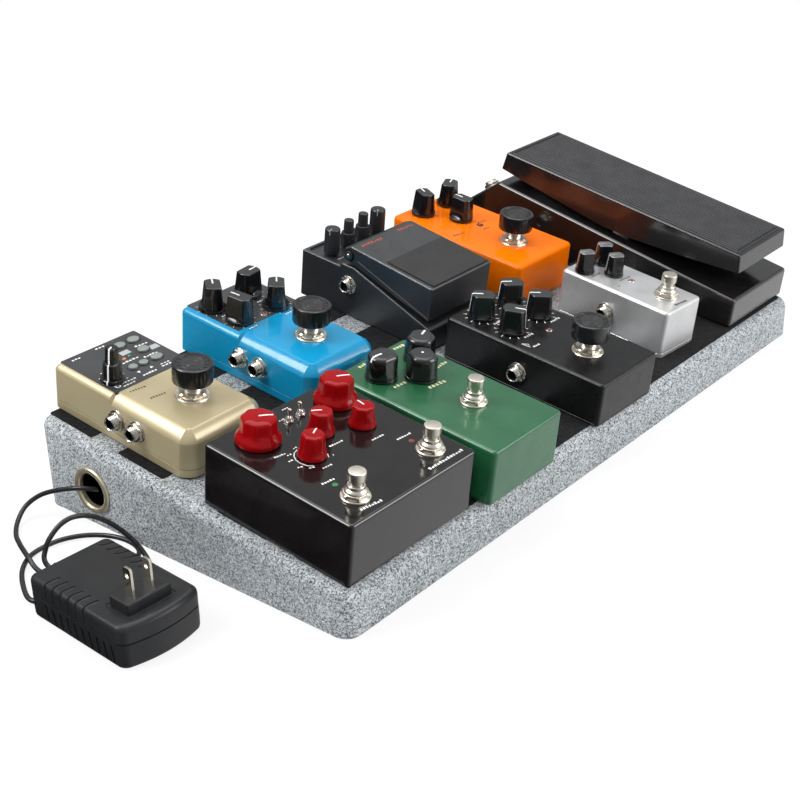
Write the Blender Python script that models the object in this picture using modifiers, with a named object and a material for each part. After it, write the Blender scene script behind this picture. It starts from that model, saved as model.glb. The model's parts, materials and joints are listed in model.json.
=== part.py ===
"""Pedalboard: a wedge-shaped moulded board that carries eight effect pedals,
one rocker (wah) pedal and a plug-in mains adapter with its cord.

Frame: origin on the floor under the middle of the board, +X to the player's
right, +Y away from the player, +Z up.  What stands on the board is placed in
the slope frame: x as above, s up the slope from the player's edge, n square
to the slope.

Every size below is in millimetres; the helpers turn them into metres.
"""
import math
from collections import namedtuple

import bmesh
import bpy
from mathutils import Matrix, Vector

MM = 0.001

# ---------------------------------------------------------- shared dimensions
BOARD_LEN = 512.0             # along X
BOARD_DEPTH = 251.0           # along Y
FRONT_H = 28.0                # height of the player's edge
REAR_H = 60.0                 # height of the far edge
DECK_RISE = (REAR_H - FRONT_H) / BOARD_DEPTH
SLOPE = math.atan(DECK_RISE)

GAP = 0.3                     # clearance between neighbours
BASE_N = 0.8                  # underside of the pedals above the slope
CASE_WALL = 2.0
MERGE_DISTANCE = 0.02         # points closer than this become one

# Casings: x and s of the centre, size, yaw (deg), radius of the top edges and
# of the upright corners.
Casing = namedtuple("Casing", "x s width depth height yaw edge corner")
CASES = {
    "gold_case":   Casing(-209.1, 194.1, 64.4, 118.0, 30.3, 0.0, 4.0, 5.0),
    "blue_case":   Casing(-103.8, 194.8, 63.5, 117.5, 31.6, 0.0, 4.0, 5.0),
    "delay_case":  Casing(-195.7, 60.1, 106.1, 110.3, 39.5, -0.5, 2.2, 2.8),
    "green_case":  Casing(-100.8, 58.3, 67.8, 122.3, 36.7, 0.4, 2.4, 2.8),
    "orange_case": Casing(112.7, 191.0, 65.3, 118.6, 33.7, -0.45, 2.8, 3.2),
    "gain_case":   Casing(18.0, 62.6, 64.7, 124.8, 30.6, -0.25, 2.2, 2.6),
    "silver_case": Casing(117.4, 62.9, 41.7, 89.9, 35.2, -2.9, 2.6, 3.2),
}
COMPACT_REAR_H = 35.5         # height of the compact pedal's control panel

# Height n of each control panel, and its yaw in radians
TOP = {name: BASE_N + case.height for name, case in CASES.items()}
TOP["compact_base"] = BASE_N + COMPACT_REAR_H
YAW = {name: math.radians(case.yaw) for name, case in CASES.items()}
YAW["compact_base"] = 0.0

# Materials: base colour, roughness, metallic
LOOKS = {
    "board":           ((0.42, 0.44, 0.46), 0.75, 0.0),
    "brass":           ((0.55, 0.40, 0.20), 0.3, 1.0),
    "gold_case":       ((0.56, 0.47, 0.30), 0.35, 0.6),
    "blue_case":       ((0.02, 0.38, 0.62), 0.18, 0.0),
    "delay_case":      ((0.012, 0.012, 0.014), 0.12, 0.0),
    "green_case":      ((0.05, 0.20, 0.10), 0.32, 0.3),
    "orange_case":     ((0.90, 0.24, 0.01), 0.16, 0.0),
    "gain_case":       ((0.03, 0.03, 0.032), 0.38, 0.0),
    "silver_case":     ((0.62, 0.62, 0.62), 0.38, 0.5),
    "compact_base":    ((0.045, 0.047, 0.05), 0.4, 0.0),
    "compact_treadle": ((0.05, 0.052, 0.055), 0.45, 0.0),
    "wah_base":        ((0.015, 0.015, 0.017), 0.25, 0.0),
    "wah_treadle":     ((0.02, 0.02, 0.022), 0.3, 0.0),
    "knob_black":      ((0.02, 0.02, 0.02), 0.3, 0.0),
    "knob_red":        ((0.55, 0.01, 0.02), 0.25, 0.0),
    "knob_grey":       ((0.25, 0.26, 0.27), 0.4, 0.0),
    "switch_metal":    ((0.75, 0.72, 0.66), 0.15, 1.0),
    "topper_black":    ((0.02, 0.02, 0.02), 0.45, 0.0),
    "button_grey":     ((0.33, 0.36, 0.33), 0.6, 0.0),
    "adapter":         ((0.03, 0.03, 0.032), 0.5, 0.0),
    "cord":            ((0.02, 0.02, 0.022), 0.45, 0.0),
}


# ---------------------------------------------------------------------- scene
def clear_scene():
    for ob in list(bpy.data.objects):
        bpy.data.objects.remove(ob, do_unlink=True)
    for blocks in (bpy.data.meshes, bpy.data.curves, bpy.data.materials):
        for item in list(blocks):
            blocks.remove(item)


def new_collection(name):
    collection = bpy.data.collections.new(name)
    bpy.context.scene.collection.children.link(collection)
    return collection


def new_material(name, color, roughness, metallic):
    material = bpy.data.materials.new(name)
    material.use_nodes = True
    bsdf = material.node_tree.nodes["Principled BSDF"]
    bsdf.inputs["Base Color"].default_value = (*color, 1.0)
    bsdf.inputs["Roughness"].default_value = roughness
    bsdf.inputs["Metallic"].default_value = metallic
    material.diffuse_color = (*color, 1.0)
    return material


def metres(values):
    return tuple(value * MM for value in values)


def new_slope_frame():
    """Empty at the player's edge of the deck, tilted with it."""
    frame = bpy.data.objects.new("slope_frame", None)
    frame.location = metres((0.0, -BOARD_DEPTH / 2, FRONT_H))
    frame.rotation_euler = (SLOPE, 0.0, 0.0)
    parts.objects.link(frame)
    return frame


clear_scene()
parts = new_collection("pedalboard")
cutters = new_collection("cutters")
MATERIALS = {name: new_material(name, *look) for name, look in LOOKS.items()}
slope = new_slope_frame()


# -------------------------------------------------------------------- objects
def add_object(name, bm, collection):
    mesh = bpy.data.meshes.new(name)
    bm.to_mesh(mesh)
    bm.free()
    ob = bpy.data.objects.new(name, mesh)
    collection.objects.link(ob)
    return ob


def add_piece(name, bm, material, parent=None, loc=(0, 0, 0), rot=(0, 0, 0),
              smooth=True):
    ob = add_object(name, bm, parts)
    if smooth:
        ob.data.shade_smooth()
        ob.data.set_sharp_from_angle(angle=math.radians(35.0))
    ob.data.materials.append(MATERIALS[material])
    ob.parent = parent
    ob.location = metres(loc)
    ob.rotation_euler = rot
    return ob


def combine(ob, operation, name, bm, in_slope_frame=False):
    """Join or cut a piece with a hidden helper.

    The helper shares the piece's frame unless it is drawn in the slope frame.
    """
    helper = add_object(name, bm, cutters)
    helper.hide_render = True
    helper.display_type = 'WIRE'
    if in_slope_frame:
        helper.parent = slope
    else:
        helper.parent = ob.parent
        helper.location = ob.location
        helper.rotation_euler = ob.rotation_euler
    mod = ob.modifiers.new(operation.lower(), 'BOOLEAN')
    mod.operation = operation
    mod.solver = 'EXACT'
    mod.object = helper


def bevel(ob, width, segments=2, angle=30.0):
    mod = ob.modifiers.new("edges", 'BEVEL')
    mod.width = width * MM
    mod.segments = segments
    mod.limit_method = 'ANGLE'
    mod.angle_limit = math.radians(angle)
    mod.harden_normals = False


def shell(ob, wall):
    mod = ob.modifiers.new("wall", 'SOLIDIFY')
    mod.thickness = wall * MM
    mod.offset = -1.0
    mod.use_even_offset = True


def triangulate(ob):
    ob.modifiers.new("flat faces", 'TRIANGULATE')


def turned(name, points, material, parent, loc, rot=(0, 0, 0), steps=16,
           closed=False):
    """Piece turned about its own Z from an outline of (radius, z)."""
    bm = bmesh.new()
    verts = [bm.verts.new((radius * MM, 0.0, z * MM)) for radius, z in points]
    for start, end in zip(verts, verts[1:]):
        bm.edges.new((start, end))
    if closed:
        bm.edges.new((verts[-1], verts[0]))
    ob = add_piece(name, bm, material, parent, loc, rot, smooth=False)
    mod = ob.modifiers.new("turn", 'SCREW')
    mod.axis = 'Z'
    mod.angle = 2 * math.pi
    mod.screw_offset = 0.0
    mod.steps = steps
    mod.render_steps = steps
    mod.use_merge_vertices = True
    mod.merge_threshold = MERGE_DISTANCE * MM


# --------------------------------------------------------------------- solids
def box(width, depth, height, corner=0.0):
    """Box standing on z = 0, centred in x and y, upright corners rounded."""
    width, depth, height, corner = metres((width, depth, height, corner))
    bm = bmesh.new()
    bmesh.ops.create_cube(bm, size=1.0)
    bmesh.ops.scale(bm, vec=(width, depth, height), verts=bm.verts)
    bmesh.ops.translate(bm, vec=(0, 0, height / 2), verts=bm.verts)
    if corner:
        upright = [edge for edge in bm.edges
                   if abs(edge.verts[0].co.z - edge.verts[1].co.z) > height / 2]
        bmesh.ops.bevel(bm, geom=upright, offset=corner, segments=3,
                        profile=0.5, affect='EDGES', clamp_overlap=True)
    return bm


def prism(outline, width, origin=(0.0, 0.0)):
    """Side outline of (s, n) points, run through width along X."""
    bm = bmesh.new()
    verts = [bm.verts.new((-width / 2 * MM, (s - origin[0]) * MM, (n - origin[1]) * MM))
             for s, n in outline]
    face = bm.faces.new(verts)
    extruded = bmesh.ops.extrude_face_region(bm, geom=[face])
    moved = [item for item in extruded["geom"] if isinstance(item, bmesh.types.BMVert)]
    bmesh.ops.translate(bm, vec=(width * MM, 0, 0), verts=moved)
    bmesh.ops.recalc_face_normals(bm, faces=bm.faces)
    return bm


def open_underside(bm):
    """Remove the faces that look down."""
    low = [face for face in bm.faces if face.normal.z < -0.5]
    bmesh.ops.delete(bm, geom=low, context='FACES_ONLY')
    return bm


def block(bm, size, centre):
    bmesh.ops.create_cube(bm, size=1.0, matrix=Matrix.Translation(metres(centre))
                          @ Matrix.Diagonal((*metres(size), 1.0)))


def rod_along_x(bm, radius, length, centre, segments):
    bmesh.ops.create_cone(bm, cap_ends=True, segments=segments, radius1=radius * MM,
                          radius2=radius * MM, depth=length * MM,
                          matrix=Matrix.Translation(metres(centre))
                          @ Matrix.Rotation(math.pi / 2, 4, 'Y'))


def upright_oval(bm, half_x, half_y, length, centre, segments):
    bmesh.ops.create_cone(bm, cap_ends=True, segments=segments, radius1=1.0,
                          radius2=1.0, depth=length * MM,
                          matrix=Matrix.Translation(metres(centre))
                          @ Matrix.Diagonal((half_x * MM, half_y * MM, 1.0, 1.0)))


# ---------------------------------------------------------------------- board
BOARD_ROUND = 7.0             # radius of the moulded top edges
BOARD_CORNER = 9.5            # radius of the upright corners
BOARD_WALL = 4.0

RIB_WIDTH = 6.0               # stiffening rib under the deck
RIB_END_LIFT = 3.0            # underside of the rib's ends above the floor
RIB_END_LEN = 7.0             # length of the lifted ends
RIB_FOOT_INSET = 9.0          # from each end to the part on the floor
RIB_TOP_RUN = 10.0            # run of slope that sets its upper corners' height

STRIP_H = 0.5                 # hook strips on the sloped top
STRIP_SINK = 1.5              # depth of the strips below the deck surface
STRIP_W = 38.5
STRIP_HALF_LEN = 248.5
STRIP_S = (25.2, 85.2, 168.2, 230.2)     # strip centres

GROMMET_Y = 78.7              # cable outlet in the left wall
GROMMET_Z = 23.8
GROMMET_R = 15.0
GROMMET_BARREL_R = 12.2
GROMMET_HOLE_R = 10.0
GROMMET_FACE = 2.3            # outer face of the flange, out from the wall
GROMMET_BARREL_END = -6.0     # inner end of the barrel
OUTLET_CUT_LEN = 30.0


def rib_outline():
    """Closed (y, z) outline: lifted ends, foot on the floor, top in the deck."""
    half = BOARD_DEPTH / 2 - BOARD_WALL / 2
    half_deck = BOARD_WALL / 2 / math.cos(SLOPE)
    top_drop = DECK_RISE * RIB_TOP_RUN
    return [
        (-half, RIB_END_LIFT),
        (-half + RIB_END_LEN, RIB_END_LIFT),
        (-half + RIB_FOOT_INSET, 0.0),
        (half - RIB_FOOT_INSET, 0.0),
        (half - RIB_END_LEN, RIB_END_LIFT),
        (half, RIB_END_LIFT),
        (half, REAR_H - BOARD_ROUND),
        (half - BOARD_ROUND, REAR_H - top_drop - half_deck),
        (-half + BOARD_ROUND, FRONT_H + top_drop - half_deck),
        (-half, FRONT_H - BOARD_ROUND),
    ]


def build_board():
    bm = open_underside(box(BOARD_LEN, BOARD_DEPTH, FRONT_H, BOARD_CORNER))
    for vert in bm.verts:
        if vert.co.z > FRONT_H / 2 * MM:
            vert.co.z = FRONT_H * MM + (vert.co.y + BOARD_DEPTH / 2 * MM) * DECK_RISE
    board = add_piece("board", bm, "board")
    bevel(board, BOARD_ROUND, segments=3, angle=45.0)
    shell(board, BOARD_WALL)
    triangulate(board)

    combine(board, 'UNION', "cross_rib", prism(rib_outline(), RIB_WIDTH))

    bm = bmesh.new()
    for s in STRIP_S:
        block(bm, (2 * STRIP_HALF_LEN, STRIP_W, STRIP_H + STRIP_SINK),
              (0, s, (STRIP_H - STRIP_SINK) / 2))
    combine(board, 'UNION', "strip_blocks", bm, in_slope_frame=True)

    bm = bmesh.new()
    rod_along_x(bm, GROMMET_BARREL_R + GAP, OUTLET_CUT_LEN,
                (-BOARD_LEN / 2, GROMMET_Y, GROMMET_Z), segments=24)
    combine(board, 'DIFFERENCE', "outlet_cut", bm)


def build_grommet():
    """Flanged sleeve whose own +Z points out of the left wall."""
    outline = [
        (GROMMET_R - 1.0, GROMMET_FACE), (GROMMET_R, 1.4), (GROMMET_R, GAP),
        (GROMMET_BARREL_R, GAP), (GROMMET_BARREL_R, GROMMET_BARREL_END),
        (GROMMET_HOLE_R, GROMMET_BARREL_END), (GROMMET_HOLE_R, 1.2),
        (GROMMET_HOLE_R + 1.1, GROMMET_FACE),
    ]
    turned("grommet", outline, "brass", None, (-BOARD_LEN / 2, GROMMET_Y, GROMMET_Z),
           (0, -math.pi / 2, 0), steps=24, closed=True)


# ------------------------------------------------------------------- controls
POT_SHAFT_R = 3.0
POT_SHAFT_END = -7.0          # lower end of the knobs' shafts
POT_HOLE_R = 3.5
STEM_R = 4.2                  # foot switch stem
STEM_END = -7.0
STEM_HOLE_R = 4.6
HOLE_CUT_LEN = 12.0

# Knob outlines from the top down: (radius, height above the casing)
BELL_BIG = [(9.8, 16.5), (10.7, 15.6), (10.9, 8.6), (13.4, 3.4), (13.0, 0.4)]
BELL_BIG2 = [(9.7, 16.8), (10.6, 15.9), (10.8, 8.8), (13.2, 3.2), (13.2, 0.4)]
BELL_SMALL = [(6.2, 14.8), (7.0, 13.9), (7.2, 6.5), (8.4, 2.6), (8.4, 0.4)]
BELL_LOW = [(6.2, 13.3), (7.0, 12.5), (7.2, 6.2), (8.4, 2.6), (8.4, 0.4)]
FLARED = [(7.3, 18.4), (8.0, 17.8), (8.6, 5.0), (9.3, 3.0), (9.3, 0.4)]
FLARED_SMALL = [(7.0, 18.0), (7.7, 17.4), (8.3, 4.6), (9.0, 2.8), (9.0, 0.4)]
ROUND_20 = [(8.8, 16.8), (9.8, 15.6), (10.2, 3.0), (10.2, 0.4)]
GAIN_KNOB = [(7.1, 17.0), (7.9, 16.2), (8.8, 3.0), (9.3, 2.0), (9.3, 0.4)]
SILVER_KNOB = [(5.3, 15.6), (5.9, 15.0), (6.3, 3.2), (7.0, 2.2), (7.0, 0.4)]
TALL = [(5.0, 19.2), (5.5, 18.6), (5.7, 0.4)]
TIERED = [(3.3, 23.2), (3.9, 22.4), (4.3, 13.2), (5.6, 12.8), (6.0, 2.6),
          (7.4, 2.4), (7.4, 0.4)]

# Knobs: name, case, x, s, outline
KNOBS = [
    ("gold_knob_level", "gold_case", -229.0, 213.1, TIERED),
    ("blue_knob_level", "blue_case", -122.2, 237.0, FLARED),
    ("blue_knob_tone", "blue_case", -90.6, 235.5, FLARED),
    ("blue_knob_speed", "blue_case", -121.0, 213.4, FLARED),
    ("blue_knob_mix", "blue_case", -89.2, 211.4, FLARED),
    ("delay_knob_level", "delay_case", -224.6, 96.5, BELL_BIG),
    ("delay_knob_reverb", "delay_case", -160.8, 95.4, BELL_BIG2),
    ("delay_knob_repeat", "delay_case", -192.9, 78.4, BELL_SMALL),
    ("delay_knob_time", "delay_case", -214.2, 65.3, BELL_SMALL),
    ("delay_knob_decay", "delay_case", -168.9, 67.6, BELL_LOW),
    ("green_knob_left", "green_case", -116.2, 97.6, ROUND_20),
    ("green_knob_right", "green_case", -81.0, 96.0, ROUND_20),
    ("green_knob_front", "green_case", -97.9, 81.0, ROUND_20),
    ("orange_knob_left", "orange_case", 100.0, 237.4, FLARED_SMALL),
    ("orange_knob_right", "orange_case", 129.0, 236.2, FLARED_SMALL),
    ("orange_knob_front", "orange_case", 114.0, 212.0, FLARED_SMALL),
    ("gain_knob_rear_left", "gain_case", 3.8, 109.8, GAIN_KNOB),
    ("gain_knob_rear_right", "gain_case", 33.5, 107.8, GAIN_KNOB),
    ("gain_knob_front_right", "gain_case", 34.2, 84.4, GAIN_KNOB),
    ("gain_knob_front_left", "gain_case", 2.7, 83.8, GAIN_KNOB),
    ("silver_knob_left", "silver_case", 106.9, 95.5, SILVER_KNOB),
    ("silver_knob_right", "silver_case", 128.1, 93.8, SILVER_KNOB),
    ("silver_knob_front", "silver_case", 118.6, 78.5, SILVER_KNOB),
    ("compact_knob_level", "compact_base", -5.9, 236.2, TALL),
    ("compact_knob_dist", "compact_base", 44.1, 236.7, TALL),
]
KNOB_MATERIALS = {"delay_case": "knob_red", "silver_case": "knob_grey"}   # others black

# Dual controls on the compact pedal, an outer ring knob round an inner one on
# one axis: name, x, s; then their outlines (radius, height)
DUALS = [("compact_eq_a", 11.4, 236.2), ("compact_eq_b", 28.0, 237.0)]
DUAL_OUTER = [(4.7, 11.0), (5.1, 10.4), (5.3, 0.4), (POT_SHAFT_R, 0.4),
              (POT_SHAFT_R, POT_SHAFT_END), (1.7, POT_SHAFT_END), (1.7, 11.0)]
DUAL_INNER = [(3.2, 20.4), (3.6, 19.8), (3.7, 11.4), (1.3, 11.4), (1.3, -9.0)]

# Foot switches: name, case, x, s, "bare" metal cap or rubber "topper"
FOOTSWITCHES = [
    ("gold_footswitch", "gold_case", -205.7, 168.7, "topper"),
    ("blue_footswitch", "blue_case", -100.8, 169.4, "topper"),
    ("delay_footswitch_left", "delay_case", -226.6, 22.8, "bare"),
    ("delay_footswitch_right", "delay_case", -161.4, 23.4, "bare"),
    ("green_footswitch", "green_case", -97.5, 40.8, "bare"),
    ("orange_footswitch", "orange_case", 113.4, 162.3, "topper"),
    ("gain_footswitch", "gain_case", 17.5, 33.5, "topper"),
    ("silver_footswitch", "silver_case", 118.5, 34.8, "bare"),
]
# Outline (radius, height above the casing) and material of each kind
SWITCH_KINDS = {
    "bare": ([(4.8, 16.6), (5.2, 16.2), (5.2, 10.4), (STEM_R, 9.6),
              (STEM_R, STEM_END)], "switch_metal"),
    "topper": ([(11.9, 22.4), (12.4, 21.9), (12.4, 10.4), (11.8, 9.8),
                (STEM_R, 9.8), (STEM_R, STEM_END)], "topper_black"),
}

# Oval push buttons on the gold pedal's panel: name, x, s, half length along X,
# half width
BUTTONS = [
    ("gold_button_tune", -187.2, 241.6, 4.3, 3.3),
    ("gold_button_mute", -198.3, 241.5, 4.0, 3.2),
    ("gold_button_mode", -190.7, 228.4, 4.1, 3.3),
    ("gold_button_phase", -191.0, 215.9, 4.3, 3.3),
    ("gold_button_down", -210.1, 216.0, 3.2, 2.7),
    ("gold_button_up", -201.8, 215.8, 3.2, 2.7),
]
BUTTON_UP = 1.3               # above the casing
BUTTON_DOWN = 5.0             # below its top

# Bat-handle toggles on the delay pedal: name, x, s, lean of the lever away
# from the player (deg); then the outline (radius, height above the pivot)
TOGGLES = [("delay_toggle_left", -197.3, 98.5, 0.0),
           ("delay_toggle_right", -186.9, 99.2, 12.0)]
TOGGLE_OUTLINE = [(0.0, 5.4), (0.9, 5.1), (1.25, 4.4), (0.75, 1.7),
                  (1.6, 0.9), (1.7, 0.0), (1.2, -1.2), (0.0, -1.7)]
TOGGLE_PIVOT = 2.4            # above the casing


def to_axis(outline):
    """Close an outline with flat ends on the turning axis."""
    return [(0.0, outline[0][1])] + outline + [(0.0, outline[-1][1])]


def build_knobs():
    for name, case, x, s, outline in KNOBS:
        shaft = [(POT_SHAFT_R, outline[-1][1]), (POT_SHAFT_R, POT_SHAFT_END)]
        turned(name, to_axis(outline + shaft), KNOB_MATERIALS.get(case, "knob_black"),
               slope, (x, s, TOP[case]), (0, 0, YAW[case]))


def build_dual_knobs():
    for name, x, s in DUALS:
        loc = (x, s, TOP["compact_base"])
        turned(name + "_outer", DUAL_OUTER, "knob_black", slope, loc, closed=True)
        turned(name + "_inner", to_axis(DUAL_INNER), "knob_black", slope, loc, steps=12)


def build_footswitches():
    for name, case, x, s, kind in FOOTSWITCHES:
        outline, material = SWITCH_KINDS[kind]
        turned(name, to_axis(outline), material, slope, (x, s, TOP[case]),
               (0, 0, YAW[case]))


def build_buttons():
    for name, x, s, half_x, half_y in BUTTONS:
        bm = bmesh.new()
        upright_oval(bm, half_x, half_y, BUTTON_UP + BUTTON_DOWN,
                     (0, 0, (BUTTON_UP - BUTTON_DOWN) / 2), segments=16)
        add_piece(name, bm, "button_grey", slope, (x, s, TOP["gold_case"]))


def build_toggles():
    for name, x, s, lean in TOGGLES:
        turned(name, TOGGLE_OUTLINE, "switch_metal", slope,
               (x, s, TOP["delay_case"] + TOGGLE_PIVOT), (-math.radians(lean), 0, 0),
               steps=10)


# -------------------------------------------------------------------- casings
def panel_holes(case):
    """Holes in a control panel: x, s, half length along X, half width."""
    holes = [(x, s, POT_HOLE_R, POT_HOLE_R)
             for _, owner, x, s, _ in KNOBS if owner == case]
    if case == "compact_base":
        holes += [(x, s, POT_HOLE_R, POT_HOLE_R) for _, x, s in DUALS]
    holes += [(x, s, STEM_HOLE_R, STEM_HOLE_R)
              for _, owner, x, s, _ in FOOTSWITCHES if owner == case]
    if case == "gold_case":
        holes += [(x, s, half_x + GAP, half_y + GAP)
                  for _, x, s, half_x, half_y in BUTTONS]
    return holes


def cut_holes(ob, case):
    bm = bmesh.new()
    for x, s, half_x, half_y in panel_holes(case):
        upright_oval(bm, half_x, half_y, HOLE_CUT_LEN, (x, s, TOP[case]), segments=12)
    combine(ob, 'DIFFERENCE', case + "_holes", bm, in_slope_frame=True)


def build_casings():
    for name, case in CASES.items():
        bm = open_underside(box(case.width, case.depth, case.height, case.corner))
        ob = add_piece(name, bm, name, slope, (case.x, case.s, BASE_N),
                       (0, 0, YAW[name]))
        bevel(ob, case.edge, angle=45.0)
        shell(ob, CASE_WALL)
        cut_holes(ob, name)


# --------------------------------------------------------------------- hinges
# Two ears on a pedal's base carry pins that point outward into the treadle.
# s, n: the pin axis.  ear_x: middle of an ear from the pedal's middle.
# ear_size: x, s, n.  ear_shift: ear's middle from the axis in s and n.
# pin_shift: pin's middle outward from the ear's.
Hinge = namedtuple("Hinge", "s n ear_x ear_size ear_shift pin_r pin_len pin_shift")
PIN_CLEARANCE = 0.35


def add_hinge(base, prefix, hinge):
    ears = bmesh.new()
    pins = bmesh.new()
    for side in (-1, 1):
        block(ears, hinge.ear_size, (side * hinge.ear_x, hinge.s + hinge.ear_shift[0],
                                     hinge.n + hinge.ear_shift[1]))
        rod_along_x(pins, hinge.pin_r, hinge.pin_len,
                    (side * (hinge.ear_x + hinge.pin_shift), hinge.s, hinge.n),
                    segments=12)
    combine(base, 'UNION', prefix + "_ears", ears)
    combine(base, 'UNION', prefix + "_pins", pins)


def cut_pin_holes(treadle, prefix, hinge, width):
    bm = bmesh.new()
    rod_along_x(bm, hinge.pin_r + PIN_CLEARANCE, width + 10.0, (0, 0, 0), segments=14)
    combine(treadle, 'DIFFERENCE', prefix + "_pin_cut", bm)


# -------------------------------------------------------------- compact pedal
COMPACT_X, COMPACT_S = 16.8, 194.6
COMPACT_W, COMPACT_D = 67.8, 119.0
COMPACT_FRONT_H = 15.5
COMPACT_RIDGE_H = 2.5         # ridge along the front of the control panel
COMPACT_TREADLE_W = 66.6
COMPACT_HINGE = Hinge(s=211.0, n=46.6, ear_x=COMPACT_TREADLE_W / 2 - 5.6,
                      ear_size=(4.0, 6.0, 13.0), ear_shift=(-1.0, -4.6),
                      pin_r=1.8, pin_len=6.0, pin_shift=2.5)
# Side outline (s, n), closed
COMPACT_TREADLE = [(138.6, 23.0), (137.6, 47.6), (210.2, 53.6), (216.0, 50.6),
                   (216.4, 43.4), (205.5, 43.6)]


def build_compact_base():
    front = COMPACT_S - COMPACT_D / 2
    rear = COMPACT_S + COMPACT_D / 2
    front_n = BASE_N + COMPACT_FRONT_H
    panel_n = TOP["compact_base"]
    ridge_n = panel_n + COMPACT_RIDGE_H
    outline = [(front, BASE_N), (front + 1.0, front_n), (front + 4.0, front_n + 1.8),
               (206.0, ridge_n), (217.5, ridge_n), (218.5, panel_n),
               (rear, panel_n), (rear, BASE_N)]
    base = add_piece("compact_base", open_underside(prism(outline, COMPACT_W)),
                     "compact_base", slope, (COMPACT_X, 0, 0))
    bevel(base, 1.6)
    shell(base, CASE_WALL)
    cut_holes(base, "compact_base")
    add_hinge(base, "compact", COMPACT_HINGE)


def build_compact_treadle():
    """Cover open underneath, with its origin on the pin axis."""
    hinge = COMPACT_HINGE
    bm = prism(COMPACT_TREADLE, COMPACT_TREADLE_W, origin=(hinge.s, hinge.n))
    treadle = add_piece("compact_treadle", open_underside(bm), "compact_treadle",
                        slope, (COMPACT_X, hinge.s, hinge.n))
    bevel(treadle, 1.2)
    shell(treadle, 2.2)
    triangulate(treadle)
    cut_pin_holes(treadle, "compact", hinge, COMPACT_TREADLE_W)


# ------------------------------------------------------------------ wah pedal
WAH_X, WAH_W = 212.3, 81.4
WAH_WALL = 2.5
WAH_TREADLE_W = 70.5
WAH_HINGE = Hinge(s=113.0, n=43.6, ear_x=WAH_TREADLE_W / 2 - 9.0,
                  ear_size=(6.0, 16.0, 16.0), ear_shift=(0.0, -4.0),
                  pin_r=2.5, pin_len=6.6, pin_shift=5.5)
# Side outlines (s, n), closed
WAH_BASE = [(7.2, BASE_N), (7.2, 23.3), (220.5, 45.9), (248.2, 22.4), (248.2, BASE_N)]
WAH_TREADLE = [(11.0, 42.2), (12.6, 55.4), (219.4, 69.6), (222.6, 55.6),
               (200.0, 51.4), (150.0, 43.0), (126.0, 39.2), (98.0, 38.2),
               (60.0, 39.4)]


def build_wah_base():
    base = add_piece("wah_base", open_underside(prism(WAH_BASE, WAH_W)), "wah_base",
                     slope, (WAH_X, 0, 0))
    bevel(base, 2.5)
    shell(base, WAH_WALL)
    add_hinge(base, "wah", WAH_HINGE)


def build_wah_treadle():
    """Cover open underneath, with its origin on the pin axis."""
    hinge = WAH_HINGE
    bm = prism(WAH_TREADLE, WAH_TREADLE_W, origin=(hinge.s, hinge.n))
    treadle = add_piece("wah_treadle", open_underside(bm), "wah_treadle",
                        slope, (WAH_X, hinge.s, hinge.n))
    bevel(treadle, 1.5)
    shell(treadle, WAH_WALL)
    cut_pin_holes(treadle, "wah", hinge, WAH_TREADLE_W)


# -------------------------------------------------------------- mains adapter
# On the floor to the left of the board, its plug pointing up
ADAPTER_X, ADAPTER_Y, ADAPTER_YAW = -316.9, -9.6, -3.2
ADAPTER_W, ADAPTER_D, ADAPTER_H = 55.0, 81.5, 26.0
PLUG_X = -1.2                 # middle of the plug from the adapter's middle
PLUG_SIZE = (30.0, 16.5, 8.5)
PLUG_Y, PLUG_RISE = -26.3, 2.25          # its centre, and that above the top
BLADE_SIZE = (1.5, 6.4, 20.0)
BLADE_Y, BLADE_RISE = -26.1, 12.5
BLADE_HALF_PITCH = 6.35


def build_adapter():
    adapter = add_piece("adapter", box(ADAPTER_W, ADAPTER_D, ADAPTER_H), "adapter",
                        loc=(ADAPTER_X, ADAPTER_Y, 0),
                        rot=(0, 0, math.radians(ADAPTER_YAW)))
    bevel(adapter, 5.5, segments=3)
    plug = bmesh.new()
    block(plug, PLUG_SIZE, (PLUG_X, PLUG_Y, ADAPTER_H + PLUG_RISE))
    combine(adapter, 'UNION', "adapter_plug_block", plug)
    blades = bmesh.new()
    for side in (-1, 1):
        block(blades, BLADE_SIZE, (PLUG_X + side * BLADE_HALF_PITCH, BLADE_Y,
                                   ADAPTER_H + BLADE_RISE))
    combine(adapter, 'UNION', "adapter_blades", blades)


# ----------------------------------------------------------------------- cord
CORD_R = 1.5
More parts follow.
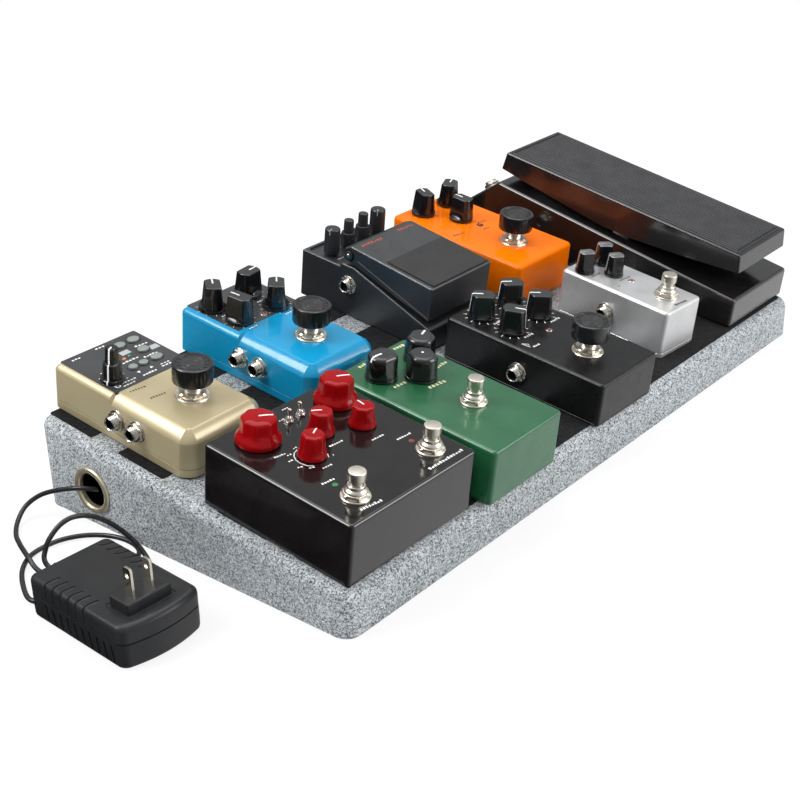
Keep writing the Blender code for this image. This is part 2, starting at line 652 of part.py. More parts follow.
# Centre line (x, y, z): from the far end of the adapter up and over to the
# right, in loose loops on the floor, and through the grommet into the board.
CORD = [
    (-319.0, 32.6, 15.0), (-319.6, 42.0, 15.0), (-319.5, 46.5, 18.5),
    (-317.0, 48.0, 23.0), (-313.6, 47.5, 28.6), (-306.5, 46.2, 34.2),
    (-297.8, 44.8, 36.0), (-287.3, 42.5, 33.0), (-278.5, 39.0, 26.5),
    (-271.8, 34.0, 18.5), (-268.2, 28.0, 11.0), (-267.6, 22.5, 5.8),
    (-269.3, 16.8, 2.4), (-273.6, 12.9, 1.9), (-278.6, 13.9, 1.9),
    (-280.3, 18.8, 1.9), (-277.0, 23.2, 1.9), (-270.5, 26.8, 1.9),
    (-263.8, 31.8, 1.9), (-260.3, 40.5, 1.9), (-260.5, 52.0, 1.9),
    (-265.0, 63.5, 1.9), (-273.0, 73.0, 1.9), (-284.0, 79.3, 1.9),
    (-296.0, 81.0, 1.9), (-307.0, 79.2, 1.9), (-318.0, 71.6, 1.9),
    (-327.0, 60.2, 1.9), (-334.8, 45.5, 1.9), (-334.0, 37.5, 1.9),
    (-327.0, 35.0, 1.9), (-319.0, 38.0, 1.9), (-314.5, 46.0, 1.9),
    (-314.0, 57.0, 1.9), (-313.2, 66.0, 2.6), (-310.8, 75.0, 4.9),
    (-307.4, 84.0, 4.9), (-302.0, 95.0, 2.4), (-296.5, 105.5, 1.9),
    (-287.5, 115.5, 3.0), (-277.5, 119.5, 8.0), (-270.5, 112.0, 15.5),
    (-266.5, 97.0, 22.5), (-262.0, 84.5, 25.8), (-256.0, 78.0, 24.6),
    (-246.0, 74.5, 20.0), (-236.0, 73.5, 14.0),
]


def catmull_rom(points, steps):
    """Points on a smooth curve through the given points, steps to each span."""
    knots = [Vector(point) for point in points]
    knots = [2 * knots[0] - knots[1]] + knots + [2 * knots[-1] - knots[-2]]
    curve = []
    for before, start, end, after in zip(knots, knots[1:], knots[2:], knots[3:]):
        for k in range(steps):
            t = k / steps
            curve.append(0.5 * ((2 * start) + (end - before) * t
                                + (2 * before - 5 * start + 4 * end - after) * t * t
                                + (3 * start - before - 3 * end + after) * t ** 3))
    curve.append(knots[-2])
    return curve


def build_cord():
    """Sweep a round section along the centre line and keep it as a mesh."""
    path = catmull_rom(CORD, 2)
    curve = bpy.data.curves.new("cord_path", 'CURVE')
    curve.dimensions = '3D'
    curve.bevel_depth = CORD_R * MM
    curve.bevel_resolution = 1
    curve.use_fill_caps = True
    spline = curve.splines.new('POLY')
    spline.points.add(len(path) - 1)
    for point, place in zip(spline.points, path):
        point.co = (*metres(place), 1.0)
    guide = bpy.data.objects.new("cord_guide", curve)
    parts.objects.link(guide)
    depsgraph = bpy.context.evaluated_depsgraph_get()
    mesh = bpy.data.meshes.new_from_object(guide.evaluated_get(depsgraph))
    bm = bmesh.new()
    bm.from_mesh(mesh)
    # Weld the end caps to the tube.
    bmesh.ops.remove_doubles(bm, verts=bm.verts, dist=MERGE_DISTANCE * MM)
    bmesh.ops.recalc_face_normals(bm, faces=bm.faces)
    bpy.data.objects.remove(guide, do_unlink=True)
    bpy.data.meshes.remove(mesh)
    add_piece("cord", bm, "cord")


build_board()
build_grommet()
build_casings()
build_compact_base()
build_compact_treadle()
build_wah_base()
build_wah_treadle()
build_knobs()
build_dual_knobs()
build_footswitches()
build_buttons()
build_toggles()
build_adapter()
build_cord()
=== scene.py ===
"""Looks for the pedalboard: every visible piece is built here in mesh code, in
millimetres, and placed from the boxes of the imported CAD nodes."""
import bpy
import bmesh
import json
import math
import random
from mathutils import Matrix, Vector


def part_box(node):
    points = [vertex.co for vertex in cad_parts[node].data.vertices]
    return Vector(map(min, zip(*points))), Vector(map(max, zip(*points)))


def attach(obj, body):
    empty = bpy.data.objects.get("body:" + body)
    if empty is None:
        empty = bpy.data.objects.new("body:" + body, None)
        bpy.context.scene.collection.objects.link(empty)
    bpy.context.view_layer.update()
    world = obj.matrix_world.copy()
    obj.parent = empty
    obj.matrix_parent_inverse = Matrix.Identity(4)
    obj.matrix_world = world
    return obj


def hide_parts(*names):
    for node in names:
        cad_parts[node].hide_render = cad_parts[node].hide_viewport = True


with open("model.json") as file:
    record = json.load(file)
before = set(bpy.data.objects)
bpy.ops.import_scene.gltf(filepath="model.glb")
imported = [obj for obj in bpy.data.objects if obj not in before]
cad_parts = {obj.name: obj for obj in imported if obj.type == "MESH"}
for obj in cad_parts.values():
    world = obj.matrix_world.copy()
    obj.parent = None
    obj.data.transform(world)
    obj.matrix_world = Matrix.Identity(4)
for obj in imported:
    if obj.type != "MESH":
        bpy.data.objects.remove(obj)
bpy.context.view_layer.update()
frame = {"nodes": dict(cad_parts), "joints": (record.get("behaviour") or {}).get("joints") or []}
rng = random.Random(11)

T = Matrix.Translation


def Rot(deg, axis):
    return Matrix.Rotation(math.radians(deg), 4, axis)


# The slope frame: x to the right, s up the sloped deck, n square to it.
board_lo, board_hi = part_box("board")
axis = next(j["axis"] for j in frame["joints"] if j["child"] == "gain_knob_rear_left")
SLOPE = math.atan2(-axis[1], axis[2])
FRONT_H = 28.0
SL = T((0, board_lo.y, FRONT_H * 0.001)) @ Matrix.Rotation(SLOPE, 4, 'X')
SLI = SL.inverted()


def sbox(node):
    """A CAD node's box in the slope frame, millimetres."""
    pts = [SLI @ v.co for v in frame["nodes"][node].data.vertices]
    lo = Vector(min(p[i] for p in pts) for i in range(3)) * 1000
    hi = Vector(max(p[i] for p in pts) for i in range(3)) * 1000
    return lo, hi


def mid(node):
    lo, hi = sbox(node)
    return (lo.x + hi.x) / 2, (lo.y + hi.y) / 2


def on_slope(x, s, n, yaw=0.0):
    return SL @ T((x * 0.001, s * 0.001, n * 0.001)) @ Rot(yaw, 'Z')


def on_floor(x, y, z, yaw=0.0):
    return T((x * 0.001, y * 0.001, z * 0.001)) @ Rot(yaw, 'Z')


# ---------------------------------------------------------------- materials
def nodes_of(name):
    m = bpy.data.materials.new(name)
    m.use_nodes = True
    nt = m.node_tree
    return m, nt, nt.nodes["Principled BSDF"]


def noise(nt, tc, scale, detail=3.0, rough=0.55, stretch=None):
    n = nt.nodes.new("ShaderNodeTexNoise")
    n.inputs["Scale"].default_value = scale
    n.inputs["Detail"].default_value = detail
    n.inputs["Roughness"].default_value = rough
    if stretch:
        mp = nt.nodes.new("ShaderNodeMapping")
        mp.inputs["Scale"].default_value = stretch
        nt.links.new(tc.outputs["Object"], mp.inputs["Vector"])
        nt.links.new(mp.outputs["Vector"], n.inputs["Vector"])
    else:
        nt.links.new(tc.outputs["Object"], n.inputs["Vector"])
    return n


def remap(nt, src, a, b, c, d):
    r = nt.nodes.new("ShaderNodeMapRange")
    r.inputs["From Min"].default_value = a
    r.inputs["From Max"].default_value = b
    r.inputs["To Min"].default_value = c
    r.inputs["To Max"].default_value = d
    nt.links.new(src, r.inputs["Value"])
    return r.outputs["Result"]


def ramp(nt, src, stops):
    r = nt.nodes.new("ShaderNodeValToRGB")
    els = r.color_ramp.elements
    while len(els) < len(stops):
        els.new(0.5)
    for e, (p, c) in zip(els, stops):
        e.position = p
        e.color = (*c, 1.0)
    nt.links.new(src, r.inputs["Fac"])
    return r.outputs["Color"]


def finish(name, col, rough, metal=0.0, coat=0.0, coat_rough=0.04, var=0.08,
           vscale=55.0, rvar=0.08, bump=0.15, bscale=1500.0, bdist=0.00005,
           spec=0.5, sss=0.0, flake=0.0, edge_wear_and_highlight=0.0, edge_wear_and_highlight_col=(0.5, 0.5, 0.5),
           stretch=None):
    """A painted, moulded or plated surface with uneven colour, uneven gloss,
    a fine surface texture and, if asked, lighter edges: rubbed wear mixed with a painted edge highlight."""
    m, nt, p = nodes_of(name)
    tc = nt.nodes.new("ShaderNodeTexCoord")
    big = noise(nt, tc, vscale, 4.0)
    fac = remap(nt, big.outputs["Fac"], 0.3, 0.7, 0.0, 1.0)
    lo = tuple(max(0.0, c * (1 - var)) for c in col)
    hi = tuple(min(1.0, c * (1 + var) + 0.002) for c in col)
    colour = ramp(nt, fac, [(0.0, lo), (1.0, hi)])
    if edge_wear_and_highlight > 0:
        # lightens convex edges, picked by Pointiness and broken up by noise: partly rubbed wear, partly a painted edge
        # highlight
        geo = nt.nodes.new("ShaderNodeNewGeometry")
        edge = remap(nt, geo.outputs["Pointiness"], 0.52, 0.60, 0.0, 1.0)
        wn = noise(nt, tc, 420.0, 5.0)
        wear_and_highlight_mask = remap(nt, wn.outputs["Fac"], 0.45, 0.62, 0.0, edge_wear_and_highlight)
        mul = nt.nodes.new("ShaderNodeMath")
        mul.operation = 'MULTIPLY'
        nt.links.new(edge, mul.inputs[0])
        nt.links.new(wear_and_highlight_mask, mul.inputs[1])
        mix = nt.nodes.new("ShaderNodeMix")
        mix.data_type = 'RGBA'
        nt.links.new(mul.outputs[0], mix.inputs["Factor"])
        nt.links.new(colour, mix.inputs["A"])
        mix.inputs["B"].default_value = (*edge_wear_and_highlight_col, 1.0)
        colour = mix.outputs["Result"]
    nt.links.new(colour, p.inputs["Base Color"])
    smudge = noise(nt, tc, vscale * 2.3, 5.0, 0.6)
    nt.links.new(remap(nt, smudge.outputs["Fac"], 0.3, 0.7,
                       max(0.02, rough - rvar), min(1.0, rough + rvar)),
                 p.inputs["Roughness"])
    p.inputs["Metallic"].default_value = metal
    p.inputs["Specular IOR Level"].default_value = spec
    p.inputs["Coat Weight"].default_value = coat
    p.inputs["Coat Roughness"].default_value = coat_rough
    if sss:
        p.inputs["Subsurface Weight"].default_value = sss
        p.inputs["Subsurface Scale"].default_value = 0.002
    fine = noise(nt, tc, bscale, 3.0, 0.6, stretch)
    b = nt.nodes.new("ShaderNodeBump")
    b.inputs["Strength"].default_value = bump
    b.inputs["Distance"].default_value = bdist
    nt.links.new(fine.outputs["Fac"], b.inputs["Height"])
    nt.links.new(b.outputs["Normal"], p.inputs["Normal"])
    if flake:
        fl = noise(nt, tc, 5200.0, 1.0)
        b.inputs["Distance"].default_value = bdist
        nt.links.new(fl.outputs["Fac"], b.inputs["Height"])
    return m


def granite():
    """Salt-and-pepper stone-effect coating: grains of about a millimetre."""
    m, nt, p = nodes_of("board_granite")
    tc = nt.nodes.new("ShaderNodeTexCoord")
    warp = noise(nt, tc, 1400.0, 2.0, 0.6)
    mixv = nt.nodes.new("ShaderNodeVectorMath")
    mixv.operation = 'MULTIPLY_ADD'
    mixv.inputs[1].default_value = (0.0006, 0.0006, 0.0006)
    nt.links.new(warp.outputs["Color"], mixv.inputs[0])
    nt.links.new(tc.outputs["Object"], mixv.inputs[2])
    cells = nt.nodes.new("ShaderNodeTexVoronoi")
    cells.inputs["Scale"].default_value = 1500.0
    nt.links.new(mixv.outputs[0], cells.inputs["Vector"])
    split = nt.nodes.new("ShaderNodeSeparateColor")
    nt.links.new(cells.outputs["Color"], split.inputs[0])
    grain = noise(nt, tc, 420.0, 3.0, 0.62)
    add = nt.nodes.new("ShaderNodeMath")
    add.operation = 'MULTIPLY_ADD'
    add.inputs[1].default_value = 0.72
    sc = nt.nodes.new("ShaderNodeMath")
    sc.operation = 'MULTIPLY'
    sc.inputs[1].default_value = 0.36
    nt.links.new(grain.outputs["Fac"], sc.inputs[0])
    nt.links.new(split.outputs[0], add.inputs[0])
    nt.links.new(sc.outputs[0], add.inputs[2])
    c = ramp(nt, add.outputs[0], [
        (0.24, (0.035, 0.043, 0.049)), (0.34, (0.12, 0.137, 0.148)),
        (0.46, (0.27, 0.293, 0.308)), (0.66, (0.38, 0.405, 0.42)),
        (0.88, (0.62, 0.645, 0.66))])
    nt.links.new(c, p.inputs["Base Color"])
    p.inputs["Roughness"].default_value = 0.62
    nt.links.new(remap(nt, grain.outputs["Fac"], 0.3, 0.7, 0.5, 0.8),
                 p.inputs["Roughness"])
    b = nt.nodes.new("ShaderNodeBump")
    b.inputs["Strength"].default_value = 0.25
    b.inputs["Distance"].default_value = 0.0002
    nt.links.new(add.outputs[0], b.inputs["Height"])
    nt.links.new(b.outputs["Normal"], p.inputs["Normal"])
    return m


def loops():
    """Black hook-and-loop strip."""
    m, nt, p = nodes_of("strip_loops")
    tc = nt.nodes.new("ShaderNodeTexCoord")
    v = nt.nodes.new("ShaderNodeTexVoronoi")
    v.inputs["Scale"].default_value = 900.0
    nt.links.new(tc.outputs["Object"], v.inputs["Vector"])
    n = noise(nt, tc, 260.0, 4.0)
    c = ramp(nt, n.outputs["Fac"], [(0.3, (0.003, 0.003, 0.0035)), (0.7, (0.013, 0.013, 0.014))])
    nt.links.new(c, p.inputs["Base Color"])
    p.inputs["Roughness"].default_value = 0.95
    p.inputs["Specular IOR Level"].default_value = 0.2
    p.inputs["Sheen Weight"].default_value = 0.04
    b = nt.nodes.new("ShaderNodeBump")
    b.inputs["Strength"].default_value = 0.9
    b.inputs["Distance"].default_value = 0.0005
    nt.links.new(v.outputs["Distance"], b.inputs["Height"])
    nt.links.new(b.outputs["Normal"], p.inputs["Normal"])
    return m


def lens(name, col, glow):
    m, nt, p = nodes_of(name)
    tc = nt.nodes.new("ShaderNodeTexCoord")
    n = noise(nt, tc, 300.0, 2.0)
    c = ramp(nt, n.outputs["Fac"], [(0.3, tuple(x * 0.75 for x in col)), (0.7, col)])
    nt.links.new(c, p.inputs["Base Color"])
    p.inputs["Roughness"].default_value = 0.12
    p.inputs["Coat Weight"].default_value = 1.0
    p.inputs["Subsurface Weight"].default_value = 0.3
    p.inputs["Subsurface Scale"].default_value = 0.001
    if glow:
        nt.links.new(c, p.inputs["Emission Color"])
        p.inputs["Emission Strength"].default_value = glow
    return m


GRANITE = granite()
LOOPS = loops()
BRASS = finish("grommet_brass", (0.92, 0.80, 0.58), 0.34, 0.85, var=0.12, rvar=0.08, vscale=140)
CORD = finish("cord_black", (0.018, 0.018, 0.020), 0.30, var=0.2, bump=0.2, bscale=900)
ADAPTER = finish("adapter_black", (0.0155, 0.016, 0.0175), 0.34, var=0.15, vscale=40,
                 bump=0.4, bscale=2600, bdist=0.00010, rvar=0.06, spec=0.30)
ADAPTER_DK = finish("adapter_slots", (0.006, 0.006, 0.006), 0.6)
GOLD = finish("gold_paint", (0.475, 0.40, 0.24), 0.32, 0.35, 0.30, 0.15, var=0.02,
              vscale=30, bump=0.30, bdist=0.00003, flake=1, rvar=0.02)
BLUE = finish("blue_paint", (0.004, 0.27, 0.51), 0.20, 0.0, 0.4, 0.05, var=0.04, bump=0.04, spec=0.35)
PANEL_BLUE = finish("blue_panel", (0.040, 0.041, 0.044), 0.26, 0.0, 0.3, 0.1, var=0.03, vscale=90,
                    bump=0.05)
GLOSS = finish("black_gloss", (0.006, 0.005, 0.005), 0.14, 0.0, 0.35, 0.03, var=0.2, bump=0.03, spec=0.45,
               rvar=0.04)
GREEN = finish("green_paint", (0.013, 0.105, 0.040), 0.34, 0.15, 0.45, 0.12, var=0.10,
               vscale=35, bump=0.3, bdist=0.00004, flake=1)
ORANGE = finish("orange_paint", (0.86, 0.165, 0.0), 0.16, 0.0, 0.04, 0.06, var=0.03, bump=0.04,
                bscale=700, spec=0.14, rvar=0.04)
SATIN = finish("black_satin", (0.005, 0.005, 0.0055), 0.32, 0.0, 0.0, 0.22, var=0.15,
               bump=0.3, bscale=2400, bdist=0.00006, spec=0.40)
SILVER = finish("silver_paint", (0.60, 0.60, 0.605), 0.36, 0.62, 0.2, 0.2, var=0.08,
                bump=0.35, bdist=0.00004, flake=1)
CAST = finish("charcoal_cast", (0.018, 0.019, 0.021), 0.36, 0.0, 0.25, 0.28, var=0.10,
              bump=0.25, bscale=2200, bdist=0.00008, spec=0.8)
PAD = finish("rubber_pad", (0.022, 0.022, 0.023), 0.58, var=0.12, bump=0.5, bscale=3000,
             bdist=0.0001, spec=0.35)
MAT = finish("tread_rubber", (0.058, 0.058, 0.061), 0.42, var=0.15, bump=0.5, bscale=2600,
             bdist=0.0001)
WAHBLACK = finish("wah_black", (0.008, 0.007, 0.007), 0.16, 0.0, 0.7, 0.05, var=0.2,
                  bump=0.05)
TREADLE = finish("treadle_black", (0.008, 0.008, 0.009), 0.20, 0.0, 0.4, 0.08, var=0.15,
                 bump=0.06, bscale=1800)
KNOB = finish("knob_black", (0.006, 0.006, 0.007), 0.16, 0.0, 0.35, 0.05, var=0.2, bump=0.04, rvar=0.05)
KNOBTOP = finish("knob_cap", (0.020, 0.021, 0.022), 0.30, 0.1, 0.3, 0.15, var=0.1, bump=0.1)
SKNOBTOP = finish("knob_cap_silver", (0.30, 0.30, 0.31), 0.30, 0.9, 0.0, var=0.08, bump=0.2)
CKNOB = finish("knob_compact", (0.020, 0.020, 0.022), 0.42, var=0.15, bump=0.35, bscale=2600)
RED = finish("knob_red", (0.27, 0.0015, 0.003), 0.08, 0.0, 0.05, 0.03, var=0.05, bump=0.02,
             spec=0.16, sss=0.0, rvar=0.03)
GREYKNOB = finish("knob_grey", (0.03, 0.03, 0.032), 0.3, var=0.1)
CHROME = finish("switch_chrome", (0.70, 0.67, 0.61), 0.24, 1.0, var=0.06, rvar=0.05,
                vscale=160, bump=0.06)
NICKEL = finish("switch_nickel", (0.74, 0.69, 0.60), 0.32, 1.0, var=0.06, rvar=0.05,
                vscale=160, bump=0.10, bscale=2600)
DARKHOLE = finish("bore_dark", (0.006, 0.006, 0.006), 0.5)
TOPPER = finish("topper_black", (0.008, 0.008, 0.009), 0.22, 0.0, 0.4, 0.10, var=0.1, bump=0.04)
TOPPER_TOP = finish("topper_face", (0.018, 0.018, 0.019), 0.42, var=0.2, bump=0.4, bscale=2200)
BUTTON = finish("button_grey", (0.20, 0.225, 0.205), 0.50, var=0.07, bump=0.3, bscale=2600,
                sss=0.05)
PANEL = finish("panel_charcoal", (0.032, 0.034, 0.037), 0.40, var=0.12, bump=0.3, bscale=2200)
WHITE = finish("print_white", (0.78, 0.78, 0.76), 0.5, var=0.04, vscale=300)
CREAM = finish("print_cream", (0.62, 0.60, 0.38), 0.5, var=0.05, vscale=300)
GREYPRINT = finish("print_grey", (0.36, 0.37, 0.37), 0.5, var=0.05, vscale=300)
BROWNPRINT = finish("print_brown", (0.08, 0.06, 0.035), 0.5, var=0.05, vscale=300)
DARKPRINT = finish("print_dark", (0.03, 0.028, 0.03), 0.5, var=0.05, vscale=300)
REDPRINT = finish("print_red", (0.34, 0.055, 0.03), 0.5, var=0.08, vscale=300)
BLADE = finish("blade_brass", (0.62, 0.58, 0.48), 0.22, 1.0, var=0.08, rvar=0.06, vscale=200)
LED_RED = lens("led_red", (0.20, 0.006, 0.014), 0.05)
LED_FLATRED = lens("led_flat_red", (0.24, 0.02, 0.025), 0.05)
LED_GREEN = lens("led_green", (0.02, 0.20, 0.05), 0.1)
LED_ORANGE = lens("led_orange", (0.75, 0.16, 0.02), 0.3)


# ------------------------------------------------------------- mesh helpers
class Build:
    """Collects closed shells, in millimetres; every face has a material slot."""

    def __init__(self):
        self.v, self.f, self.m = [], [], []
        self.T = Matrix.Identity(4)
        self.k = 0

    def at(self, m=None):
        self.T = Matrix.Identity(4) if m is None else m
        return self

    def mat(self, k):
        self.k = k
        return self

    def add(self, verts, faces, mats=None):
        o = len(self.v)
        self.v.extend(self.T @ Vector(p) for p in verts)
        self.f.extend(tuple(o + i for i in f) for f in faces)
        self.m.extend(mats if mats else [self.k] * len(faces))

    def loft(self, rings, closed=False, mats=None, caps=(None, None)):
        """Skins rings of equal length. mats: a slot for each band."""
        n, k = len(rings[0]), len(rings)
        verts = [p for r in rings for p in r]
        faces, fm = [], []
        for i in range(k if closed else k - 1):
            a, b = i * n, ((i + 1) % k) * n
            slot = self.k if mats is None else mats[i]
            for j in range(n):
                j2 = (j + 1) % n
                faces.append((a + j, a + j2, b + j2, b + j))
                fm.append(slot)
        if not closed:
            faces.append(tuple(range(n))[::-1])
            fm.append(self.k if caps[0] is None else caps[0])
            faces.append(tuple((k - 1) * n + j for j in range(n)))
            fm.append(self.k if caps[1] is None else caps[1])
        self.add(verts, faces, fm)

    def lathe(self, prof, n=48, fn=None, closed=False, mats=None):
        """Turns (radius, height) points; ends on the axis become a point."""
        verts, rows = [], []
        for r, z in prof:
            if r < 1e-6:
                rows.append([len(verts)])
                verts.append((0.0, 0.0, z))
            else:
                row = []
                for j in range(n):
                    a = 2 * math.pi * j / n
                    rr = fn(a, r, z) if fn else r
                    row.append(len(verts))
                    verts.append((rr * math.cos(a), rr * math.sin(a), z))
                rows.append(row)
        faces, fm = [], []
        k = len(rows)
        for i in range(k if closed else k - 1):
            A, B = rows[i], rows[(i + 1) % k]
            slot = self.k if mats is None else mats[i]
            for j in range(n):
                j2 = (j + 1) % n
                if len(A) == 1 and len(B) == 1:
                    continue
                if len(A) == 1:
                    faces.append((A[0], B[j], B[j2]))
                elif len(B) == 1:
                    faces.append((A[j], A[j2], B[0]))
                else:
                    faces.append((A[j], A[j2], B[j2], B[j]))
                fm.append(slot)
        if not closed:
            for row, slot in ((rows[0], 0), (rows[-1], -1)):
                if len(row) > 1:
                    faces.append(tuple(row))
                    fm.append(self.k if mats is None else mats[slot])
        self.add(verts, faces, fm)

    def strip(self, a, b, w, h0=-0.1, h1=0.09, taper=1.0):
        """A raised printed stroke from a to b on z = 0, with round ends."""
        a, b = Vector((a[0], a[1])), Vector((b[0], b[1]))
        d = b - a
        if d.length < 1e-6:
            d = Vector((1e-3, 0))
        ang = math.atan2(d.y, d.x)
        out = []
        for c, a0, ww in ((b, -90, w * taper), (a, 90, w)):
            for i in range(5):
                t = ang + math.radians(a0 + 180 * i / 4)
                out.append((c.x + ww / 2 * math.cos(t), c.y + ww / 2 * math.sin(t)))
        self.loft([[(x, y, h0) for x, y in out], [(x, y, h1) for x, y in out]])

    def poly(self, pts, h0=-0.1, h1=0.09):
        self.loft([[(x, y, h0) for x, y in pts], [(x, y, h1) for x, y in pts]])

    def path(self, pts, w, h0=-0.1, h1=0.09):
        """A printed line of even width through points."""
        P = [Vector((p[0], p[1])) for p in pts]
        L, Rr = [], []
        for i, p in enumerate(P):
            d = (P[min(i + 1, len(P) - 1)] - P[max(i - 1, 0)]).normalized()
            nrm = Vector((-d.y, d.x)) * (w / 2)
            L.append(p + nrm)
            Rr.append(p - nrm)
        n = len(P)
        verts = []
        for i in range(n):
            verts += [(L[i].x, L[i].y, h0), (L[i].x, L[i].y, h1),
                      (Rr[i].x, Rr[i].y, h1), (Rr[i].x, Rr[i].y, h0)]
        faces = []
        for i in range(n - 1):
            o = 4 * i
            for a, b in ((0, 1), (1, 2), (2, 3), (3, 0)):
                faces.append((o + a, o + b, o + 4 + b, o + 4 + a))
        faces.append((0, 1, 2, 3))
        faces.append((4 * n - 1, 4 * n - 2, 4 * n - 3, 4 * n - 4))
        self.add(verts, faces)

    def ribbon(self, pts, w, lift=0.10, sink=0.12):
        """A stroke that follows an outline in the XZ plane (a knob's line)."""
        P = [Vector((p[0], p[1])) for p in pts]
        n = len(P)
        verts = []
        for i, p in enumerate(P):
            d = (P[min(i + 1, n - 1)] - P[max(i - 1, 0)]).normalized()
            nr = Vector((-d.y, d.x))
            if nr.x * 0.3 + nr.y < 0:
                nr = -nr
            o, q = p + nr * lift, p - nr * sink
            verts += [(q.x, -w / 2, q.y), (o.x, -w / 2 * 0.92, o.y),
                      (o.x, w / 2 * 0.92, o.y), (q.x, w / 2, q.y)]
        faces = []
        for i in range(n - 1):
            k = 4 * i
            for a, b in ((0, 1), (1, 2), (2, 3), (3, 0)):
                faces.append((k + a, k + b, k + 4 + b, k + 4 + a))
        faces.append((0, 1, 2, 3))
        faces.append((4 * n - 1, 4 * n - 2, 4 * n - 3, 4 * n - 4))
        self.add(verts, faces)

    def label(self, a, b, h, k=5, fill=0.72):
        """A printed label, drawn as a plain row of short blocks."""
        a, b = Vector((a[0], a[1])), Vector((b[0], b[1]))
        d = b - a
        ang = math.atan2(d.y, d.x)
        u = d.normalized()
        v = Vector((-u.y, u.x))
        step = d.length / k
        for i in range(k):
            w = step * fill * rng.uniform(0.75, 1.05)
            hh = h * rng.choice((0.62, 0.8, 1.0, 0.8))
            c = a + u * (step * (i + 0.5)) - v * (h - hh) / 2
            q = [c - u * w / 2 - v * hh / 2, c + u * w / 2 - v * hh / 2,
                 c + u * w / 2 + v * hh / 2, c - u * w / 2 + v * hh / 2]
            self.poly([(p.x, p.y) for p in q])

    def tube(self, pts, r, n=14, closed_ends=True):
        P = [Vector(p) for p in pts]
        d0 = (P[1] - P[0]).normalized()
        up = Vector((0, 0, 1)) if abs(d0.z) < 0.9 else Vector((1, 0, 0))
        side = d0.cross(up).normalized()
        rings = []
        for i, p in enumerate(P):
            d = (P[min(i + 1, len(P) - 1)] - P[max(i - 1, 0)]).normalized()
            side = (side - d * side.dot(d)).normalized()
            other = d.cross(side)
            rr = r[i] if isinstance(r, (list, tuple)) else r
            rings.append([tuple(p + (side * math.cos(2 * math.pi * j / n)
                                     + other * math.sin(2 * math.pi * j / n)) * rr)
                          for j in range(n)])
        self.loft(rings)


def rrect(hx, hy, r, z, k=6, cx=0.0, cy=0.0):
    r = min(r, hx - 0.01, hy - 0.01)
    pts = []
    for sx, sy, a0 in ((1, 1, 0), (-1, 1, 90), (-1, -1, 180), (1, -1, 270)):
        for i in range(k + 1):
            a = math.radians(a0 + 90 * i / k)
            pts.append((cx + sx * (hx - r) + r * math.cos(a),
                        cy + sy * (hy - r) + r * math.sin(a), z))
    return pts


def rbox(b, hx, hy, z0, z1, r, edge, k=6, cx=0.0, cy=0.0, seg=4, low=None):
    """A block with round upright corners and round top (and bottom) edges."""
    rings = []
    low = edge if low is None else low
    if low > 0:
        for i in range(seg + 1):
            a = math.pi / 2 * i / seg
            ins = low * (1 - math.sin(a))
            rings.append(rrect(hx - ins, hy - ins, max(r - ins, 0.25), z0 + low * (1 - math.cos(a)), k, cx, cy))
    else:
        rings.append(rrect(hx, hy, r, z0, k, cx, cy))
    for i in range(seg + 1):
        a = math.pi / 2 * i / seg
        ins = edge * (1 - math.cos(a))
        rings.append(rrect(hx - ins, hy - ins, max(r - ins, 0.25), z1 - edge * (1 - math.sin(a)), k, cx, cy))
    b.loft(rings)


def hexfn(flat):
    def fn(a, r, z):
        t = (a + math.pi / 6) % (math.pi / 3) - math.pi / 6
        return min(r, flat / math.cos(t))
    return fn


def hexnut(b, flat, z0, z1, bore, mats=None):
    """Hex nut with turned-off corners and a bore."""
    c = flat / math.cos(math.pi / 6)
    b.lathe([(bore, z0), (flat * 0.98, z0), (c, z0 + (c - flat) * 0.7),
             (c, z1 - (c - flat) * 0.7), (flat * 0.98, z1), (bore, z1)],
            n=48, fn=hexfn(flat), closed=True)


def to_mesh(name, b, mats):
    me = bpy.data.meshes.new(name)
    me.from_pydata([tuple(p * 0.001) for p in b.v], [], b.f)
    for m in mats:
        me.materials.append(m)
    me.polygons.foreach_set("material_index", b.m)
    bm = bmesh.new()
    bm.from_mesh(me)
    bmesh.ops.recalc_face_normals(bm, faces=bm.faces)
    bm.to_mesh(me)
    bm.free()
    me.update()
    return me


def place(name, me, world, body="board", nodes=(), sharp=34.0, wn=True):
    me.shade_smooth()
    me.set_sharp_from_angle(angle=math.radians(sharp))
    ob = bpy.data.objects.new(name, me)
    bpy.context.scene.collection.objects.link(ob)
    ob.matrix_world = world
    if wn:
        mod = ob.modifiers.new("normals", 'WEIGHTED_NORMAL')
        mod.keep_sharp = True
    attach(ob, body)
    if nodes:
        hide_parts(*nodes)
    return ob


def piece(name, b, mats, world, body="board", nodes=(), sharp=34.0, wn=True):
    return place(name, to_mesh(name, b, mats), world, body, nodes, sharp, wn)


def baked(ob, drop=True):
    """The object's mesh with its modifiers applied."""
    dg = bpy.context.evaluated_depsgraph_get()
    dg.update()
    me = bpy.data.meshes.new_from_object(ob.evaluated_get(dg))
    if drop:
        bpy.data.objects.remove(ob, do_unlink=True)
    return me


def temp(me):
    ob = bpy.data.objects.new("temp", me)
    bpy.context.scene.collection.objects.link(ob)
    bpy.context.view_layer.update()
    return ob


def cut(me, cutter_me, op='DIFFERENCE'):
    """Boolean of two meshes in the same frame."""
    a, b = temp(me), temp(cutter_me)
    mod = a.modifiers.new("cut", 'BOOLEAN')
    mod.operation = op
    mod.solver = 'EXACT'
    mod.object = b
    out = baked(a)
    bpy.data.objects.remove(b, do_unlink=True)
    return out


